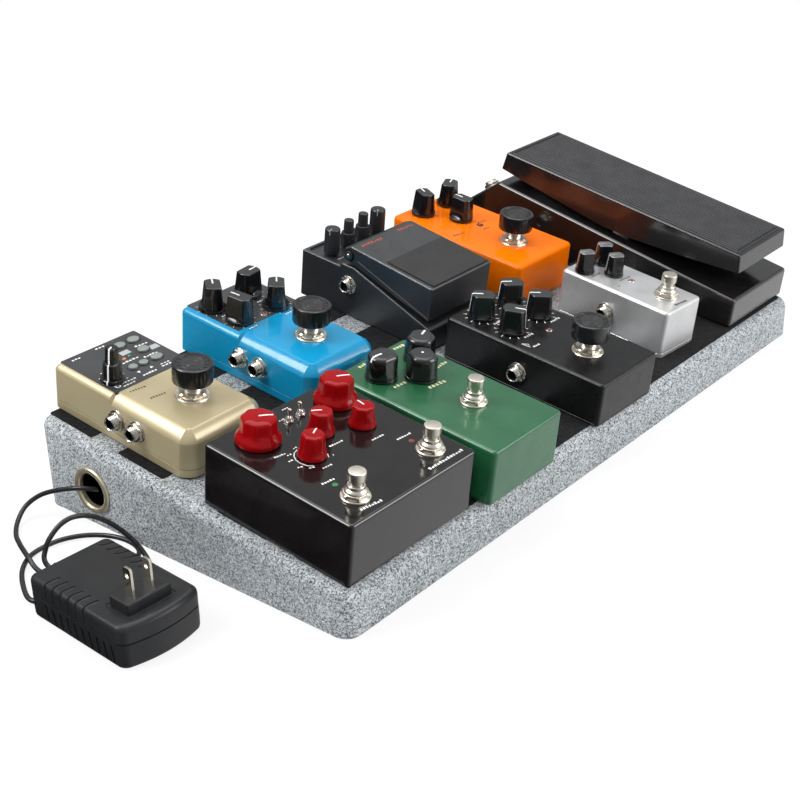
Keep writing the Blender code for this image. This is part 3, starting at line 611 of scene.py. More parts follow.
# ------------------------------------------------------------------- board
def wedge():
    w = (board_hi.x - board_lo.x)
    d = (board_hi.y - board_lo.y)
    bm = bmesh.new()
    bmesh.ops.create_cube(bm, size=1.0)
    bmesh.ops.scale(bm, vec=(w, d, 0.028), verts=bm.verts)
    bmesh.ops.translate(bm, vec=(0, 0, 0.014), verts=bm.verts)
    up = [e for e in bm.edges if abs(e.verts[0].co.z - e.verts[1].co.z) > 0.014]
    bmesh.ops.bevel(bm, geom=up, offset=0.0095, segments=7, profile=0.5,
                    affect='EDGES', clamp_overlap=True)
    bmesh.ops.delete(bm, geom=[f for f in bm.faces if f.normal.z < -0.9], context='FACES_ONLY')
    for v in bm.verts:
        if v.co.z > 0.001:
            v.co.z = 0.028 + (v.co.y + d / 2) * math.tan(SLOPE)
    me = bpy.data.meshes.new("board_shell")
    bm.to_mesh(me)
    bm.free()
    me.materials.append(GRANITE)
    ob = temp(me)
    bv = ob.modifiers.new("round", 'BEVEL')
    bv.width = 0.007
    bv.segments = 7
    bv.limit_method = 'ANGLE'
    bv.angle_limit = math.radians(45)
    so = ob.modifiers.new("wall", 'SOLIDIFY')
    so.thickness = 0.004
    so.offset = -1.0
    so.use_even_offset = True
    ob.modifiers.new("tri", 'TRIANGULATE')
    return baked(ob)


grom_lo, grom_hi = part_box("grommet")
gy, gz = (grom_lo.y + grom_hi.y) / 2, (grom_lo.z + grom_hi.z) / 2
b = Build()
b.at(T((board_lo.x * 1000, gy * 1000, gz * 1000)) @ Rot(90, 'Y'))
b.lathe([(0, -15), (12.6, -15), (12.6, 15), (0, 15)], n=48)
board_me = cut(wedge(), to_mesh("grommet_cut", b, []))
place("board_shell", board_me, Matrix.Identity(4), nodes=("board",), sharp=40)

# rib under the deck
b = Build()
b.at(Matrix.Identity(4))
hy = (board_hi.y - board_lo.y) * 500 - 4.2
rib = [(-hy, 3.0), (-hy + 7, 3.0), (-hy + 9, 0.0), (hy - 9, 0.0), (hy - 7, 3.0), (hy, 3.0),
       (hy, 50.0), (hy - 5, 53.5), (-hy + 5, 25.0), (-hy, 22.0)]
b.loft([[(-3.0, y, z) for y, z in rib], [(3.0, y, z) for y, z in rib]])
piece("board_rib", b, [GRANITE], Matrix.Identity(4))

# rubber feet under the rim corners sit inside the hollow, flush with the floor
for i, (fx, fy) in enumerate(((-236, -108), (236, -108), (-236, 108), (236, 108))):
    b = Build()
    b.lathe([(0, 0.2), (8.2, 0.2), (9.0, 1.0), (9.4, 4.5), (9.4, 5.5), (0, 5.5)], n=32)
    hgt = 28 + (fy + 125.5) * math.tan(SLOPE) - 4.6
    b.lathe([(0, 5.5), (4.0, 5.5), (4.0, hgt), (0, hgt)], n=20)
    piece("board_foot_%d" % (i + 1), b, [CORD], on_floor(fx, fy, 0))

# hook strips on the deck
for i, s in enumerate((25.2, 85.2, 168.2, 230.2)):
    b = Build()
    rbox(b, 248.5, 19.25, -0.2, 0.68, 1.2, 0.25, k=4, seg=2, low=0)
    piece("deck_strip_%d" % (i + 1), b, [LOOPS], on_slope(0, s, 0))

# grommet
b = Build()
g = [(12.2, -6.0), (12.2, 0.25), (15.0, 0.25), (15.2, 0.7)]
g += [(14.0 + 1.25 * math.cos(a), 0.95 + 1.25 * math.sin(a))
      for a in [math.radians(t) for t in (10, 35, 60, 85)]]
g += [(13.0, 2.3), (12.2, 2.0), (11.6, 1.4), (11.3, 0.6), (11.25, -1.5), (11.9, -1.6), (11.9, -6.0)]
b.lathe(g, n=72, closed=True)
piece("grommet_ring", b, [BRASS], T((board_lo.x, gy, gz)) @ Rot(-90, 'Y'),
      nodes=("grommet",))
b = Build()
b.lathe([(11.85, -1.7), (11.85, -9.0), (0, -9.0), (0, -8.0), (10.6, -8.0), (10.9, -1.7)], n=60)
piece("grommet_lining", b, [DARKHOLE], T((board_lo.x, gy, gz)) @ Rot(-90, 'Y'))


# -------------------------------------------------------------- pedal parts
BASE_N = sbox("gold_case")[0].z
DIM = {  # width, depth, yaw (deg), top edge radius, corner radius, seam height, draft
    "gold_case": (64.4, 118.0, 0.0, 7.2, 8.0, 5.6, 0.0),
    "blue_case": (63.5, 117.5, 0.0, 7.2, 8.0, 5.6, 0.0),
    "delay_case": (106.5, 110.7, -0.5, 2.2, 2.9, 0.0, 0.0),
    "green_case": (68.4, 122.7, 0.4, 2.4, 2.9, None, 0.0),
    "orange_case": (66.0, 119.2, -0.45, 3.0, 3.4, None, 0.0),
    "gain_case": (65.2, 125.4, -0.25, 2.2, 2.8, None, 0.0),
    "silver_case": (42.3, 90.5, -2.9, 2.4, 3.2, 3.4, 0.0),
}
TOP = {c: sbox(c)[1].z for c in DIM}
MID = {c: mid(c) for c in DIM}
CASE_MAT = {"gold_case": (GOLD, "gold_paint"), "blue_case": (BLUE, "blue_paint"),
            "delay_case": (GLOSS, "black_gloss"), "green_case": (GREEN, "green_paint"),
            "orange_case": (ORANGE, "orange_paint"), "gain_case": (SATIN, "black_satin"),
            "silver_case": (SILVER, "silver_paint")}
REAR = {"gold_case": (3.6, 3.6, 7.2), "blue_case": (3.6, 3.6, 5.4)}   # corner, edge radius, where it starts
CP_TOP = 36.3


def casing(name):
    w, d, yaw, e, c, seam, draft = DIM[name]
    h = TOP[name] - BASE_N
    hx, hy = w / 2, d / 2
    b = Build()
    rings, mats = [], []

    rc, re_, ys = REAR.get(name, (c, e, 0.0))
    flat = 1.5 if name in REAR else 1.0      # 1 is a round edge, 2 a straight chamfer

    def power(v, k=1.0):
        return math.copysign(abs(v) ** k, v)
    base = []    # x, y, outward normal, edge radius
    for sx, sy, a0, cr in ((1, 1, 0, rc), (-1, 1, 90, rc), (-1, -1, 180, c), (1, -1, 270, c)):
        if (sx, sy) == (-1, -1):
            base += [(-hx, ys + 0.7, -1.0, 0.0, re_), (-hx, ys - 0.7, -1.0, 0.0, e)]
        for i in range(9):
            t = math.radians(a0 + 90 * i / 8)
            k = flat if sy < 0 else 1.0
            base.append((sx * (hx - cr) + cr * power(math.cos(t), k), sy * (hy - cr) + cr * power(math.sin(t), k),
                         math.cos(t), math.sin(t), re_ if sy > 0 else e))
    base += [(hx, ys - 0.7, 1.0, 0.0, e), (hx, ys + 0.7, 1.0, 0.0, re_)]

    def ring(z, ins, slot=0):
        rings.append([(x - nx * ins, y - ny * ins, z) for x, y, nx, ny, _ in base])
        mats.append(slot)
    ring(0.0, 0.7)
    ring(0.35, 0.15)
    ring(0.8, 0.0)
    sm = 1.7 if seam is None else seam
    if sm:
        ring(sm - 0.30, 0.0)
        ring(sm - 0.12, 0.14, 1)
        ring(sm - 0.10, 0.55, 1)
        ring(sm + 0.10, 0.55, 1)
        ring(sm + 0.12, 0.14)
        ring(sm + 0.30, 0.02)
    ring(h - e - 0.4, draft)
    n = 8
    for i in range(n + 1):
        a = math.pi / 2 * i / n
        ca, sa = power(math.cos(a), flat), power(math.sin(a), flat)
        if i == n:
            ca = 0.0
        rings.append([(x - nx * q * 0.985 * (1 - ca), y - ny * q * 0.985 * (1 - ca),
                       h - q * (1 - sa)) for x, y, nx, ny, q in base])
        mats.append(0)
    b.loft(rings, mats=mats, caps=(1, 0))
    mx, my = MID[name]
    me = to_mesh(name, b, [CASE_MAT[name][0], DARKHOLE])
    place(name + "_shell", me, on_slope(mx, my, BASE_N, yaw), nodes=(name,),
          sharp=30)
    # base plate with four screws, on the underside
    b = Build()
    rbox(b, hx - 1.2, hy - 1.2, -0.02, 0.3, max(c - 1.2, 1.0), 0.0, low=0, seg=1)
    b.mat(1)
    for sx in (-1, 1):
        for sy in (-1, 1):
            b.at(T((sx * (hx - 5.0), sy * (hy - 5.0), -0.1)))
            b.lathe([(0, 0), (2.6, 0), (2.6, 0.3), (0, 0.3)], n=16)
    b.at()
    piece(name + "_base_plate", b, [DARKHOLE, CHROME], on_slope(mx, my, BASE_N, yaw))


for c in DIM:
    casing(c)


def barring(z, r, w, bulge, n1=8, n2=10):
    """One ring of a bar-pointer knob: round ends, two flats bulged out."""
    w = min(w, r * 0.985)
    ph = math.asin(w / r)
    pts = []
    for i in range(n1 + 1):
        a = -ph + 2 * ph * i / n1
        pts.append((r * math.cos(a), r * math.sin(a), z))
    x0 = r * math.cos(ph)
    for i in range(1, n2):
        x = x0 - 2 * x0 * i / n2
        y = w + bulge * (math.sqrt(max(r * r - x * x, 0)) - w)
        pts.append((x, y, z))
    for i in range(n1 + 1):
        a = math.pi - ph + 2 * ph * i / n1
        pts.append((r * math.cos(a), r * math.sin(a), z))
    for i in range(1, n2):
        x = -x0 + 2 * x0 * i / n2
        y = -(w + bulge * (math.sqrt(max(r * r - x * x, 0)) - w))
        pts.append((x, y, z))
    return pts


def bar_knob(R, Rt, H, wr=0.56, edge=1.0, ledge=3.0, down=False, dot=False, line_w=1.0,
             line=(0.05, 1.0), skirt=0.0):
    """Black pointer knob: round skirt, tapered bar-shaped grip, pointer line."""
    b = Build()
    w0, w1 = R * wr + 0.3, Rt * wr
    zs = ledge

    def rad(z):
        t = (z - zs) / (H - zs)
        return (R - skirt) + (Rt - (R - skirt)) * max(0, t)

    def wid(z):
        t = (z - zs) / (H - zs)
        return w0 + (w1 - w0) * max(0, t)
    rings = [barring(0.4, R - 0.15, w0, 1), barring(0.6, R, w0, 1),
             barring(zs - 0.7, R - 0.05, w0, 1), barring(zs - 0.35, R - 0.15, w0, 1),
             barring(zs - 0.12, R - 0.5 - skirt, w0, 0.96),
             barring(zs, rad(zs) - 0.25, w0, 0.80),
             barring(zs + 0.35, rad(zs), wid(zs), 0.52), barring(zs + 1.1, rad(zs + 1.1), wid(zs + 1), 0.24),
             barring(zs + 2.4, rad(zs + 2.4), wid(zs + 2.4), 0.07),
             barring(zs + 4.4, rad(zs + 4.4), wid(zs + 4.4), 0.0),
             barring(H - edge, rad(H), w1, 0)]
    mats = [0] * 11
    for i in range(1, 5):
        a = math.pi / 2 * i / 4
        ins = edge * (1 - math.cos(a))
        rings.append(barring(H - edge * (1 - math.sin(a)), rad(H) - ins, w1 - ins * 0.8, 0))
        mats.append(1 if i >= 2 else 0)
    b.loft(rings, mats=mats, caps=(0, 1))
    b.mat(2)
    rt = rad(H)
    path = [(line[0] * rt, H)]
    path.append((rt - edge, H))
    for i in range(1, 5):
        a = math.pi / 2 * i / 4
        path.append((rt - edge * (1 - math.sin(a)), H - edge * (1 - math.cos(a))))
    if down:
        path.append((rad(zs + 1.6), zs + 1.6))
    elif line[1] < 1.0:
        path = [(line[0] * rt, H), (line[1] * rt, H)]
    b.ribbon(path, line_w)
    if dot:
        b.at(T((0.1 * rt, 0, H)))
        b.lathe([(0, 0.12), (0.75, 0.12), (0.85, -0.1), (0, -0.1)], n=16)
        b.at()
    return b


def red_knob(prof, R, line_w):
    """Glossy bell knob: eight flats on the grip, a flared round skirt."""
    b = Build()
    H = prof[0][1]
    zk = H * 0.34

    def fn(a, r, z):
        t = (a + math.pi / 8) % (math.pi / 4) - math.pi / 8
        k = min(1.0, max(0.0, (z - zk) / (H * 0.14)))
        flat = r * (0.942 + 0.058 * (1 - k) + 0.02 * (1 - k))
        return min(r, flat / math.cos(t))
    b.lathe(prof + [(prof[-1][0] - 0.3, 0.4), (0, 0.4)], n=96, fn=fn)
    b.mat(1)
    rt = prof[1][0]
    b.ribbon([(-0.2, H + 0.0), (rt * 0.9, prof[1][1] + 0.02), (rt * 1.0, prof[1][1] - 0.02),
              (prof[2][0] * 0.985, prof[2][1] + 0.05)], line_w, lift=0.12, sink=0.4)
    return b


BELL_BIG = [(0, 16.5), (5.4, 16.42), (8.2, 16.15), (9.4, 15.85), (10.0, 15.35), (10.35, 14.6), (10.5, 12.0),
            (10.7, 8.8), (10.9, 7.4), (11.4, 6.1), (12.2, 4.9), (12.95, 3.9), (13.33, 3.0),
            (13.4, 1.9), (13.2, 0.6)]
BELL_BIG2 = [(r * 0.985, z * 1.018) for r, z in BELL_BIG]
BELL_SMALL = [(0, 14.9), (4.4, 14.75), (5.9, 14.5), (6.45, 14.1), (6.75, 13.4), (6.95, 11.0), (7.1, 8.0),
              (7.25, 5.6), (7.5, 4.3), (7.9, 3.2), (8.25, 2.3), (8.4, 1.4), (8.3, 0.6)]
BELL_LOW = [(r, z * 0.892) for r, z in BELL_SMALL]


def put_knob(node, case, b, mats, ang):
    x, s = mid(node)
    top = TOP.get(case, CP_TOP)
    piece(node + "_body", b, mats, on_slope(x, s, top, ang), node, (node,), sharp=30)


def knob_seat(b, x, s, r):
    """The washer and bush a knob stands on."""
    b.at(T((x, s, 0)))
    b.lathe([(0, -0.2), (r, -0.2), (r, 0.22), (r - 0.3, 0.32), (0, 0.32)], n=28)
    b.at()


# knob name -> (pointer direction, builder)
BLUEK = dict(R=9.3, Rt=8.0, H=18.4, ledge=3.2, edge=0.9, wr=0.66)
ORANGEK = dict(R=9.0, Rt=7.7, H=18.0, ledge=2.9, edge=0.9, wr=0.66)
for node, ang, kw in (("blue_knob_level", 52, BLUEK), ("blue_knob_tone", 6, BLUEK),
                      ("blue_knob_speed", 97, BLUEK), ("blue_knob_mix", 44, BLUEK),
                      ("orange_knob_left", 66, ORANGEK), ("orange_knob_right", 24, ORANGEK),
                      ("orange_knob_front", 88, ORANGEK)):
    case = node.split("_")[0] + "_case"
    put_knob(node, case, bar_knob(**kw), [KNOB, KNOBTOP, WHITE], ang)
for node, ang in (("gain_knob_rear_left", 133), ("gain_knob_rear_right", 140),
                  ("gain_knob_front_right", 133), ("gain_knob_front_left", -62)):
    put_knob(node, "gain_case", bar_knob(9.3, 7.9, 17.0, wr=0.74, edge=1.1, ledge=2.2, down=True,
                                         line_w=1.1, skirt=0.4),
             [KNOB, KNOBTOP, WHITE], ang)
for node, ang, R, H, dot in (("green_knob_left", 173, 10.2, 16.8, False),
                             ("green_knob_right", 20, 10.2, 16.8, False),
                             ("green_knob_front", 62, 10.2, 16.8, True)):
    put_knob(node, "green_case", bar_knob(R, R - 0.7, H, wr=0.86, edge=3.4, ledge=2.2, down=False,
                                          dot=dot, line_w=1.3, skirt=0.3,
                                          line=(0.1, 1.0) if not dot else (0.02, 0.12)),
             [KNOB, KNOBTOP, WHITE], ang)
for node, ang in (("silver_knob_left", 150), ("silver_knob_right", 140), ("silver_knob_front", 150)):
    put_knob(node, "silver_case", bar_knob(7.0, 5.8, 15.6, wr=0.74, edge=0.9, ledge=2.2, down=True,
                                           line_w=0.7, skirt=0.3),
             [KNOB, SKNOBTOP, GREYPRINT], ang - 2.9)
for node, ang, prof, lw in (("delay_knob_level", -32, BELL_BIG, 1.1),
                            ("delay_knob_reverb", -28, BELL_BIG2, 1.1),
                            ("delay_knob_repeat", 140, BELL_SMALL, 0.95),
                            ("delay_knob_time", 25, BELL_SMALL, 0.95),
                            ("delay_knob_decay", 78, BELL_LOW, 0.95)):
    put_knob(node, "delay_case", red_knob(prof, prof[-1][0], lw), [RED, WHITE], ang)

# gold pedal: three-tier level knob
b = Build()


def flute(count, depth):
    return lambda a, r, z: r * (1 - depth * abs(math.sin(count * a / 2)) ** 3)


b.lathe([(0, 23.2), (3.1, 23.2), (3.6, 22.9), (3.9, 22.3), (4.1, 18.0), (4.3, 13.3), (4.6, 12.9), (0, 12.9)],
        n=72, fn=flute(18, 0.05))
b.lathe([(0, 13.0), (5.0, 13.0), (5.5, 12.7), (5.65, 12.0), (5.9, 6.0), (6.0, 2.9), (0, 2.9)], n=72,
        fn=flute(24, 0.035))
b.lathe([(0, 2.95), (6.7, 2.95), (7.2, 2.6), (7.4, 2.0), (7.4, 0.4), (0, 0.4)], n=56)
b.mat(1)
b.ribbon([(0.3, 23.2), (3.1, 23.2), (3.75, 22.6), (4.0, 20.0), (4.32, 13.4)], 1.0, lift=0.16, sink=0.3)
b.ribbon([(4.5, 13.0), (5.2, 12.95), (5.7, 12.0), (5.95, 6.0), (6.05, 3.2)], 1.0, lift=0.16, sink=0.3)
b.ribbon([(6.0, 2.95), (6.9, 2.95), (7.4, 2.2), (7.42, 0.7)], 1.0, lift=0.12, sink=0.2)
put_knob("gold_knob_level", "gold_case", b, [KNOB, WHITE], -156)

# compact pedal: plain tall controls and two dual controls
for node, ang in (("compact_knob_level", 200), ("compact_knob_dist", 215)):
    b = Build()
    b.lathe([(0, 19.2), (4.2, 19.2), (4.9, 19.0), (5.35, 18.5), (5.5, 17.6), (5.7, 3.0), (5.7, 1.0),
             (5.5, 0.4), (0, 0.4)], n=64, fn=lambda a, r, z: r * (1 - (0.012 if 2 < z < 16.5 else 0.0) * (0.5 + 0.5 * math.cos(32 * a))),
            mats=[1, 1, 1, 0, 0, 0, 0, 0])
    b.mat(2)
    b.ribbon([(2.2, 19.2), (4.6, 19.15), (5.42, 18.3), (5.56, 15.5)], 0.6, lift=0.06)
    put_knob(node, "compact", b, [CKNOB, KNOBTOP, GREYPRINT], ang)
for stem in ("compact_eq_a", "compact_eq_b"):
    b = Build()
    b.lathe([(1.8, 0.4), (5.1, 0.4), (5.3, 0.7), (5.25, 5.0), (5.1, 10.0), (4.9, 10.7), (4.5, 11.0), (1.8, 11.0)],
            n=64, closed=True,
            fn=lambda a, r, z: r if r < 3 else r * (1 - (0.02 if 1 < z < 9.9 else 0.0) * (0.5 + 0.5 * math.cos(24 * a))))
    put_knob(stem + "_outer", "compact", b, [CKNOB], 30)
    b = Build()
    b.lathe([(0, 20.4), (2.8, 20.4), (3.25, 20.2), (3.5, 19.7), (3.7, 11.5), (1.2, 11.4), (1.2, 1.0), (0, 1.0)],
            n=48, mats=[1, 1, 1, 0, 0, 0, 0],
            fn=lambda a, r, z: r if r < 3.45 or z > 19 else r * (1 - 0.015 * (0.5 + 0.5 * math.cos(20 * a))))
    put_knob(stem + "_inner", "compact", b, [CKNOB, KNOBTOP], 200)


# ------------------------------------------------------------ foot switches
def thread(r, z0, z1, pitch=0.8, depth=0.28):
    out, z = [], z0
    while z < z1 - 0.05:
        out += [(r, z), (r - depth, min(z + pitch / 2, z1))]
        z += pitch
    return out


BARE = [(0, 16.6), (4.3, 16.6), (4.85, 16.45), (5.15, 16.05), (5.22, 15.5), (5.22, 11.5), (5.1, 11.0), (4.7, 10.65),
        (3.95, 10.55), (3.9, 2.7), (0, 2.7)]
for node, case in (("delay_footswitch_left", "delay_case"), ("delay_footswitch_right", "delay_case"),
                   ("green_footswitch", "green_case"), ("silver_footswitch", "silver_case")):
    x, s = mid(node)
    b = Build()
    b.lathe(BARE, n=48)
    piece(node + "_cap", b, [NICKEL], on_slope(x, s, TOP[case]), node, (node,))
    b = Build()
    b.lathe([(4.3, -0.1), (8.5, -0.1), (8.7, 0.2), (8.6, 0.9), (8.2, 1.25), (4.3, 1.3)], n=48, closed=True)
    b.at(Rot(14, 'Z'))
    c = 7.0 / math.cos(math.pi / 6)
    b.lathe([(4.3, 1.2), (7.0, 1.2), (c, 1.7), (c, 3.0), (7.1, 3.7), (6.6, 3.95), (4.3, 3.95)], n=60,
            fn=hexfn(7.0), closed=True)
    b.at()
    b.lathe([(4.1, 3.8), (6.5, 3.8), (6.55, 4.4), (6.2, 5.1), (5.5, 5.7), (5.05, 6.1), (5.0, 7.8), (4.7, 8.15), (4.1, 8.2)],
            n=48, closed=True)
    piece(node + "_nut", b, [NICKEL], on_slope(x, s, TOP[case], 10))

for node, case in (("gold_footswitch", "gold_case"), ("blue_footswitch", "blue_case"),
                   ("orange_footswitch", "orange_case"), ("gain_footswitch", "gain_case")):
    x, s = mid(node)
    b = Build()
    prof = [(0, 21.9), (3.0, 21.9), (3.3, 22.15), (4.1, 22.15), (4.4, 21.85), (6.7, 21.85), (7.0, 22.1),
            (7.5, 22.1), (7.8, 21.75), (9.8, 21.75), (10.1, 22.3), (11.3, 22.4), (11.9, 22.2), (12.3, 21.8),
            (12.4, 21.2), (12.4, 11.0), (12.2, 10.5), (11.7, 10.2), (4.6, 10.0), (4.2, 9.9)]
    b.lathe(prof + [(4.2, 2.7), (0, 2.7)], n=72, mats=[1] * 10 + [0] * 9 + [2, 2])
    # a plain ring of embossed pips between the two inner rings
    b.mat(1)
    for i in range(14):
        a = 2 * math.pi * i / 14
        b.at(T((8.85 * math.cos(a), 8.85 * math.sin(a), 21.85)) @ Rot(math.degrees(a), 'Z'))
        b.poly([(-0.62, -0.95), (0.62, -0.75), (0.62, 0.75), (-0.62, 0.95)], -0.1, 0.24)
    b.at()
    piece(node + "_cap", b, [TOPPER, TOPPER_TOP, NICKEL], on_slope(x, s, TOP[case]), node, (node,))
    b = Build()
    b.lathe([(4.5, -0.1), (10.4, -0.1), (10.6, 0.2), (10.2, 0.7), (4.5, 0.8)], n=48, closed=True)
    b.at(Rot(20, 'Z'))
    hexnut(b, 8.2, 0.7, 3.4, 4.5)
    b.at()
    b.lathe([(4.3, 3.2)] + [(r, z) for r, z in thread(5.4, 3.2, 7.0)] + [(5.0, 7.4), (4.3, 7.4)], n=40, closed=True)
    piece(node + "_nut", b, [NICKEL], on_slope(x, s, TOP[case]))

# ------------------------------------------------------ toggles and buttons
for node, lean in (("delay_toggle_left", 0.0), ("delay_toggle_right", 12.0)):
    x, s = mid(node)
    lo, hi = sbox(node)
    if lean:
        s -= 0.4
    ttop = TOP["delay_case"]
    b = Build()
    b.lathe([(0, 6.4), (0.75, 6.25), (1.15, 5.8), (1.3, 5.1), (1.2, 4.2), (0.85, 2.4), (0.8, 1.2), (1.3, 0.7),
             (1.5, 0.1), (1.3, -0.6), (0, -1.2)], n=28)
    world = on_slope(x, s, ttop + 2.4) @ Rot(-lean, 'X')
    piece(node + "_lever", b, [CHROME], world, node, (node,))
    b = Build()
    hexnut(b, 2.7, 0.0, 1.2, 1.75)
    b.lathe([(1.75, 1.1)] + thread(2.35, 1.1, 2.6, 0.5, 0.18) + [(2.1, 2.8), (1.75, 2.8)], n=32, closed=True)
    b.lathe([(0, 0.0), (1.75, 0.0), (1.75, 0.4), (0, 0.4)], n=20)
    piece(node + "_nut", b, [CHROME], on_slope(x, s, ttop))

for node, ha, hb in (("gold_button_tune", 4.3, 3.3), ("gold_button_mute", 4.0, 3.2),
                     ("gold_button_mode", 4.1, 3.3), ("gold_button_phase", 4.3, 3.3),
                     ("gold_button_down", 3.2, 2.7), ("gold_button_up", 3.2, 2.7)):
    x, s = mid(node)
    asp = hb / ha
    b = Build()
    b.at(Matrix.Diagonal((1, asp, 1, 1)))
    b.lathe([(0, 1.95), (ha * 0.7, 1.9), (ha * 0.88, 1.78), (ha * 0.97, 1.55), (ha, 1.25), (ha, 1.14), (0, 1.14)], n=40)
    b.at()
    piece(node + "_cap", b, [BUTTON], on_slope(x, s, TOP["gold_case"]), node, (node,))
    b = Build()
    b.at(Matrix.Diagonal((1, asp, 1, 1)))
    b.lathe([(ha + 0.2, 0.2), (ha + 0.9, 0.2), (ha + 0.85, 0.7), (ha + 0.55, 1.05), (ha + 0.25, 1.1)], n=40,
            closed=True)
    b.at()
    piece(node + "_rim", b, [PANEL], on_slope(x, s, TOP["gold_case"]))


# ---------------------------------------------------------------- hardware
def jack_into(b, r=4.6, reach=7.0, bore=3.4, nut=5.6):
    """Jack bush with washer, hex nut, thread and bore, standing on +z."""
    t0 = b.T.copy()
    b.lathe([(bore + 0.6, -0.1), (nut + 1.2, -0.1), (nut + 1.3, 0.3), (nut + 1.0, 0.7), (bore + 0.6, 0.7)], n=44,
            closed=True)
    b.T = t0 @ Rot(rng.uniform(0, 60), 'Z')
    hexnut(b, nut, 0.65, 3.0, bore + 0.6)
    b.T = t0
    th = thread(r, 2.9, reach - 0.8)
    prof = [(0, 2.0), (bore, 2.0), (bore, reach - 0.5), (bore + 0.4, reach), (r - 0.6, reach), (r - 0.1, reach - 0.5)]
    mats = [1, 1, 0, 0, 0]
    for p in reversed(th):
        prof.append(p)
        mats.append(0)
    prof += [(r - 0.1, 0.2), (0, 0.2)]
    mats += [0, 0]
    b.lathe(prof, n=44, mats=mats)
    b.T = t0


def side_jacks(name, case, spots, left=True, **kw):
    """Jacks on a pedal's left wall at (s, n)."""
    w = DIM[case][0] if case in DIM else 67.8
    mx = MID[case][0] if case in DIM else mid(case)[0]
    for i, (s, n) in enumerate(spots):
        b = Build()
        jack_into(b, **kw)
        x = mx - w / 2 + 0.35 if left else mx + w / 2 - 0.35
        world = on_slope(x, s, n) @ Rot(-90 if left else 90, 'Y')
        piece("%s_jack_%d" % (name, i + 1), b, [CHROME, DARKHOLE], world)


side_jacks("gold", "gold_case", [(195.5, 16.0), (178.2, 16.0)])
side_jacks("blue", "blue_case", [(198.3, 16.8), (181.0, 16.8)])
side_jacks("gain", "gain_case", [(64.7, 14.3)])
side_jacks("silver", "silver_case", [(68.0, 18.0)], reach=7.0)
side_jacks("compact", "compact_base", [(210.0, 24.4)], reach=5.4)
side_jacks("gold_right", "gold_case", [(187.0, 16.0)], left=False)
side_jacks("blue_right", "blue_case", [(190.0, 16.8)], left=False)
side_jacks("orange_right", "orange_case", [(190.0, 17.0)], left=False)
side_jacks("gain_right", "gain_case", [(64.0, 14.3)], left=False)
side_jacks("silver_right", "silver_case", [(70.0, 18.0)], left=False, reach=7.0)

# jacks on the rear walls of the delay and green pedals
for name, case, spots in (("delay_rear", "delay_case", ((-32, 19), (-10, 19), (10, 19), (32, 19))),
                          ("green_rear", "green_case", ((-18, 18), (18, 18)))):
    for i, (dx, n) in enumerate(spots):
        b = Build()
        jack_into(b, reach=6.0)
        mx, my = MID[case]
        world = on_slope(mx + dx, my + DIM[case][1] / 2 - 0.4, n) @ Rot(-90, 'X')
        piece("%s_jack_%d" % (name, i + 1), b, [CHROME, DARKHOLE], world)

# DC sockets on rear walls
for name, case, dx, n in (("gold", "gold_case", 0, 15), ("blue", "blue_case", 0, 16), ("orange", "orange_case", 6, 17),
                          ("gain", "gain_case", -12, 14), ("silver", "silver_case", 0, 17)):
    b = Build()
    rbox(b, 6.5, 6.0, 0.0, 1.4, 1.5, 0.4, low=0, seg=2, k=3)
    b.mat(1)
    b.at(T((0, 0, 1.3)))
    b.lathe([(0, 0.05), (3.4, 0.05), (3.6, 0.18), (0, 0.18)], n=28)
    b.mat(2)
    b.lathe([(0, 0.1), (0.9, 0.1), (0.9, 1.0), (0, 1.1)], n=16)
    mx, my = MID[case]
    world = on_slope(mx + dx, my + DIM[case][1] / 2 - 0.5, n) @ Rot(-90, 'X')
    piece("%s_power_socket" % name, b, [KNOB, DARKHOLE, CHROME], world)


def led_into(b, x, s, r=1.7, h=1.4, slot=0, ring=1):
    b.at(T((x, s, 0)))
    b.mat(ring)
    b.lathe([(r + 0.05, -0.1), (r + 0.7, -0.1), (r + 0.7, 0.25), (r + 0.4, 0.5), (r + 0.05, 0.5)], n=28, closed=True)
    b.mat(slot)
    pr = [(0, h)]
    for i in range(1, 6):
        a = math.pi / 2 * i / 5
        pr.append((r * math.sin(a), h * math.cos(a) if i < 5 else 0.2))
    b.lathe(pr + [(r, -0.1), (0, -0.1)], n=24)
    b.at()


for name, case, x, s in (("blue", "blue_case", -102.9, 209.0), ("orange", "orange_case", 116.6, 195.7),
                         ("gain", "gain_case", 21.6, 66.9), ("silver", "silver_case", 119.5, 63.9)):
    b = Build()
    led_into(b, 0, 0)
    piece(name + "_led", b, [LED_RED, CHROME if name != "orange" else DARKHOLE], on_slope(x, s, TOP[case]))
for name, x, s, m in (("delay_led_green", -226.0, 37.8, LED_GREEN), ("delay_led_red", -162.1, 36.7, LED_FLATRED)):
    b = Build()
    b.lathe([(0, 0.16), (1.5, 0.14), (1.7, 0.0), (1.7, -0.1), (0, -0.1)], n=24)
    piece(name, b, [m], on_slope(x, s, TOP["delay_case"]))

# ------------------------------------------------------------- gold panel
g_top = TOP["gold_case"]
b = Build()
px0, px1, ps0, ps1 = -237.5, -178.2, 200.5, 251.2
cx, cs = (px0 + px1) / 2, (ps0 + ps1) / 2
rbox(b, (px1 - px0) / 2, (ps1 - ps0) / 2, -3.2, 0.3, 1.2, 0.12, k=3, seg=2, low=0)
piece("gold_panel", b, [PANEL], on_slope(cx, cs, g_top))
b = Build()
ox, os_ = cx, cs


def G(x, s):
    return (x - ox, s - os_)


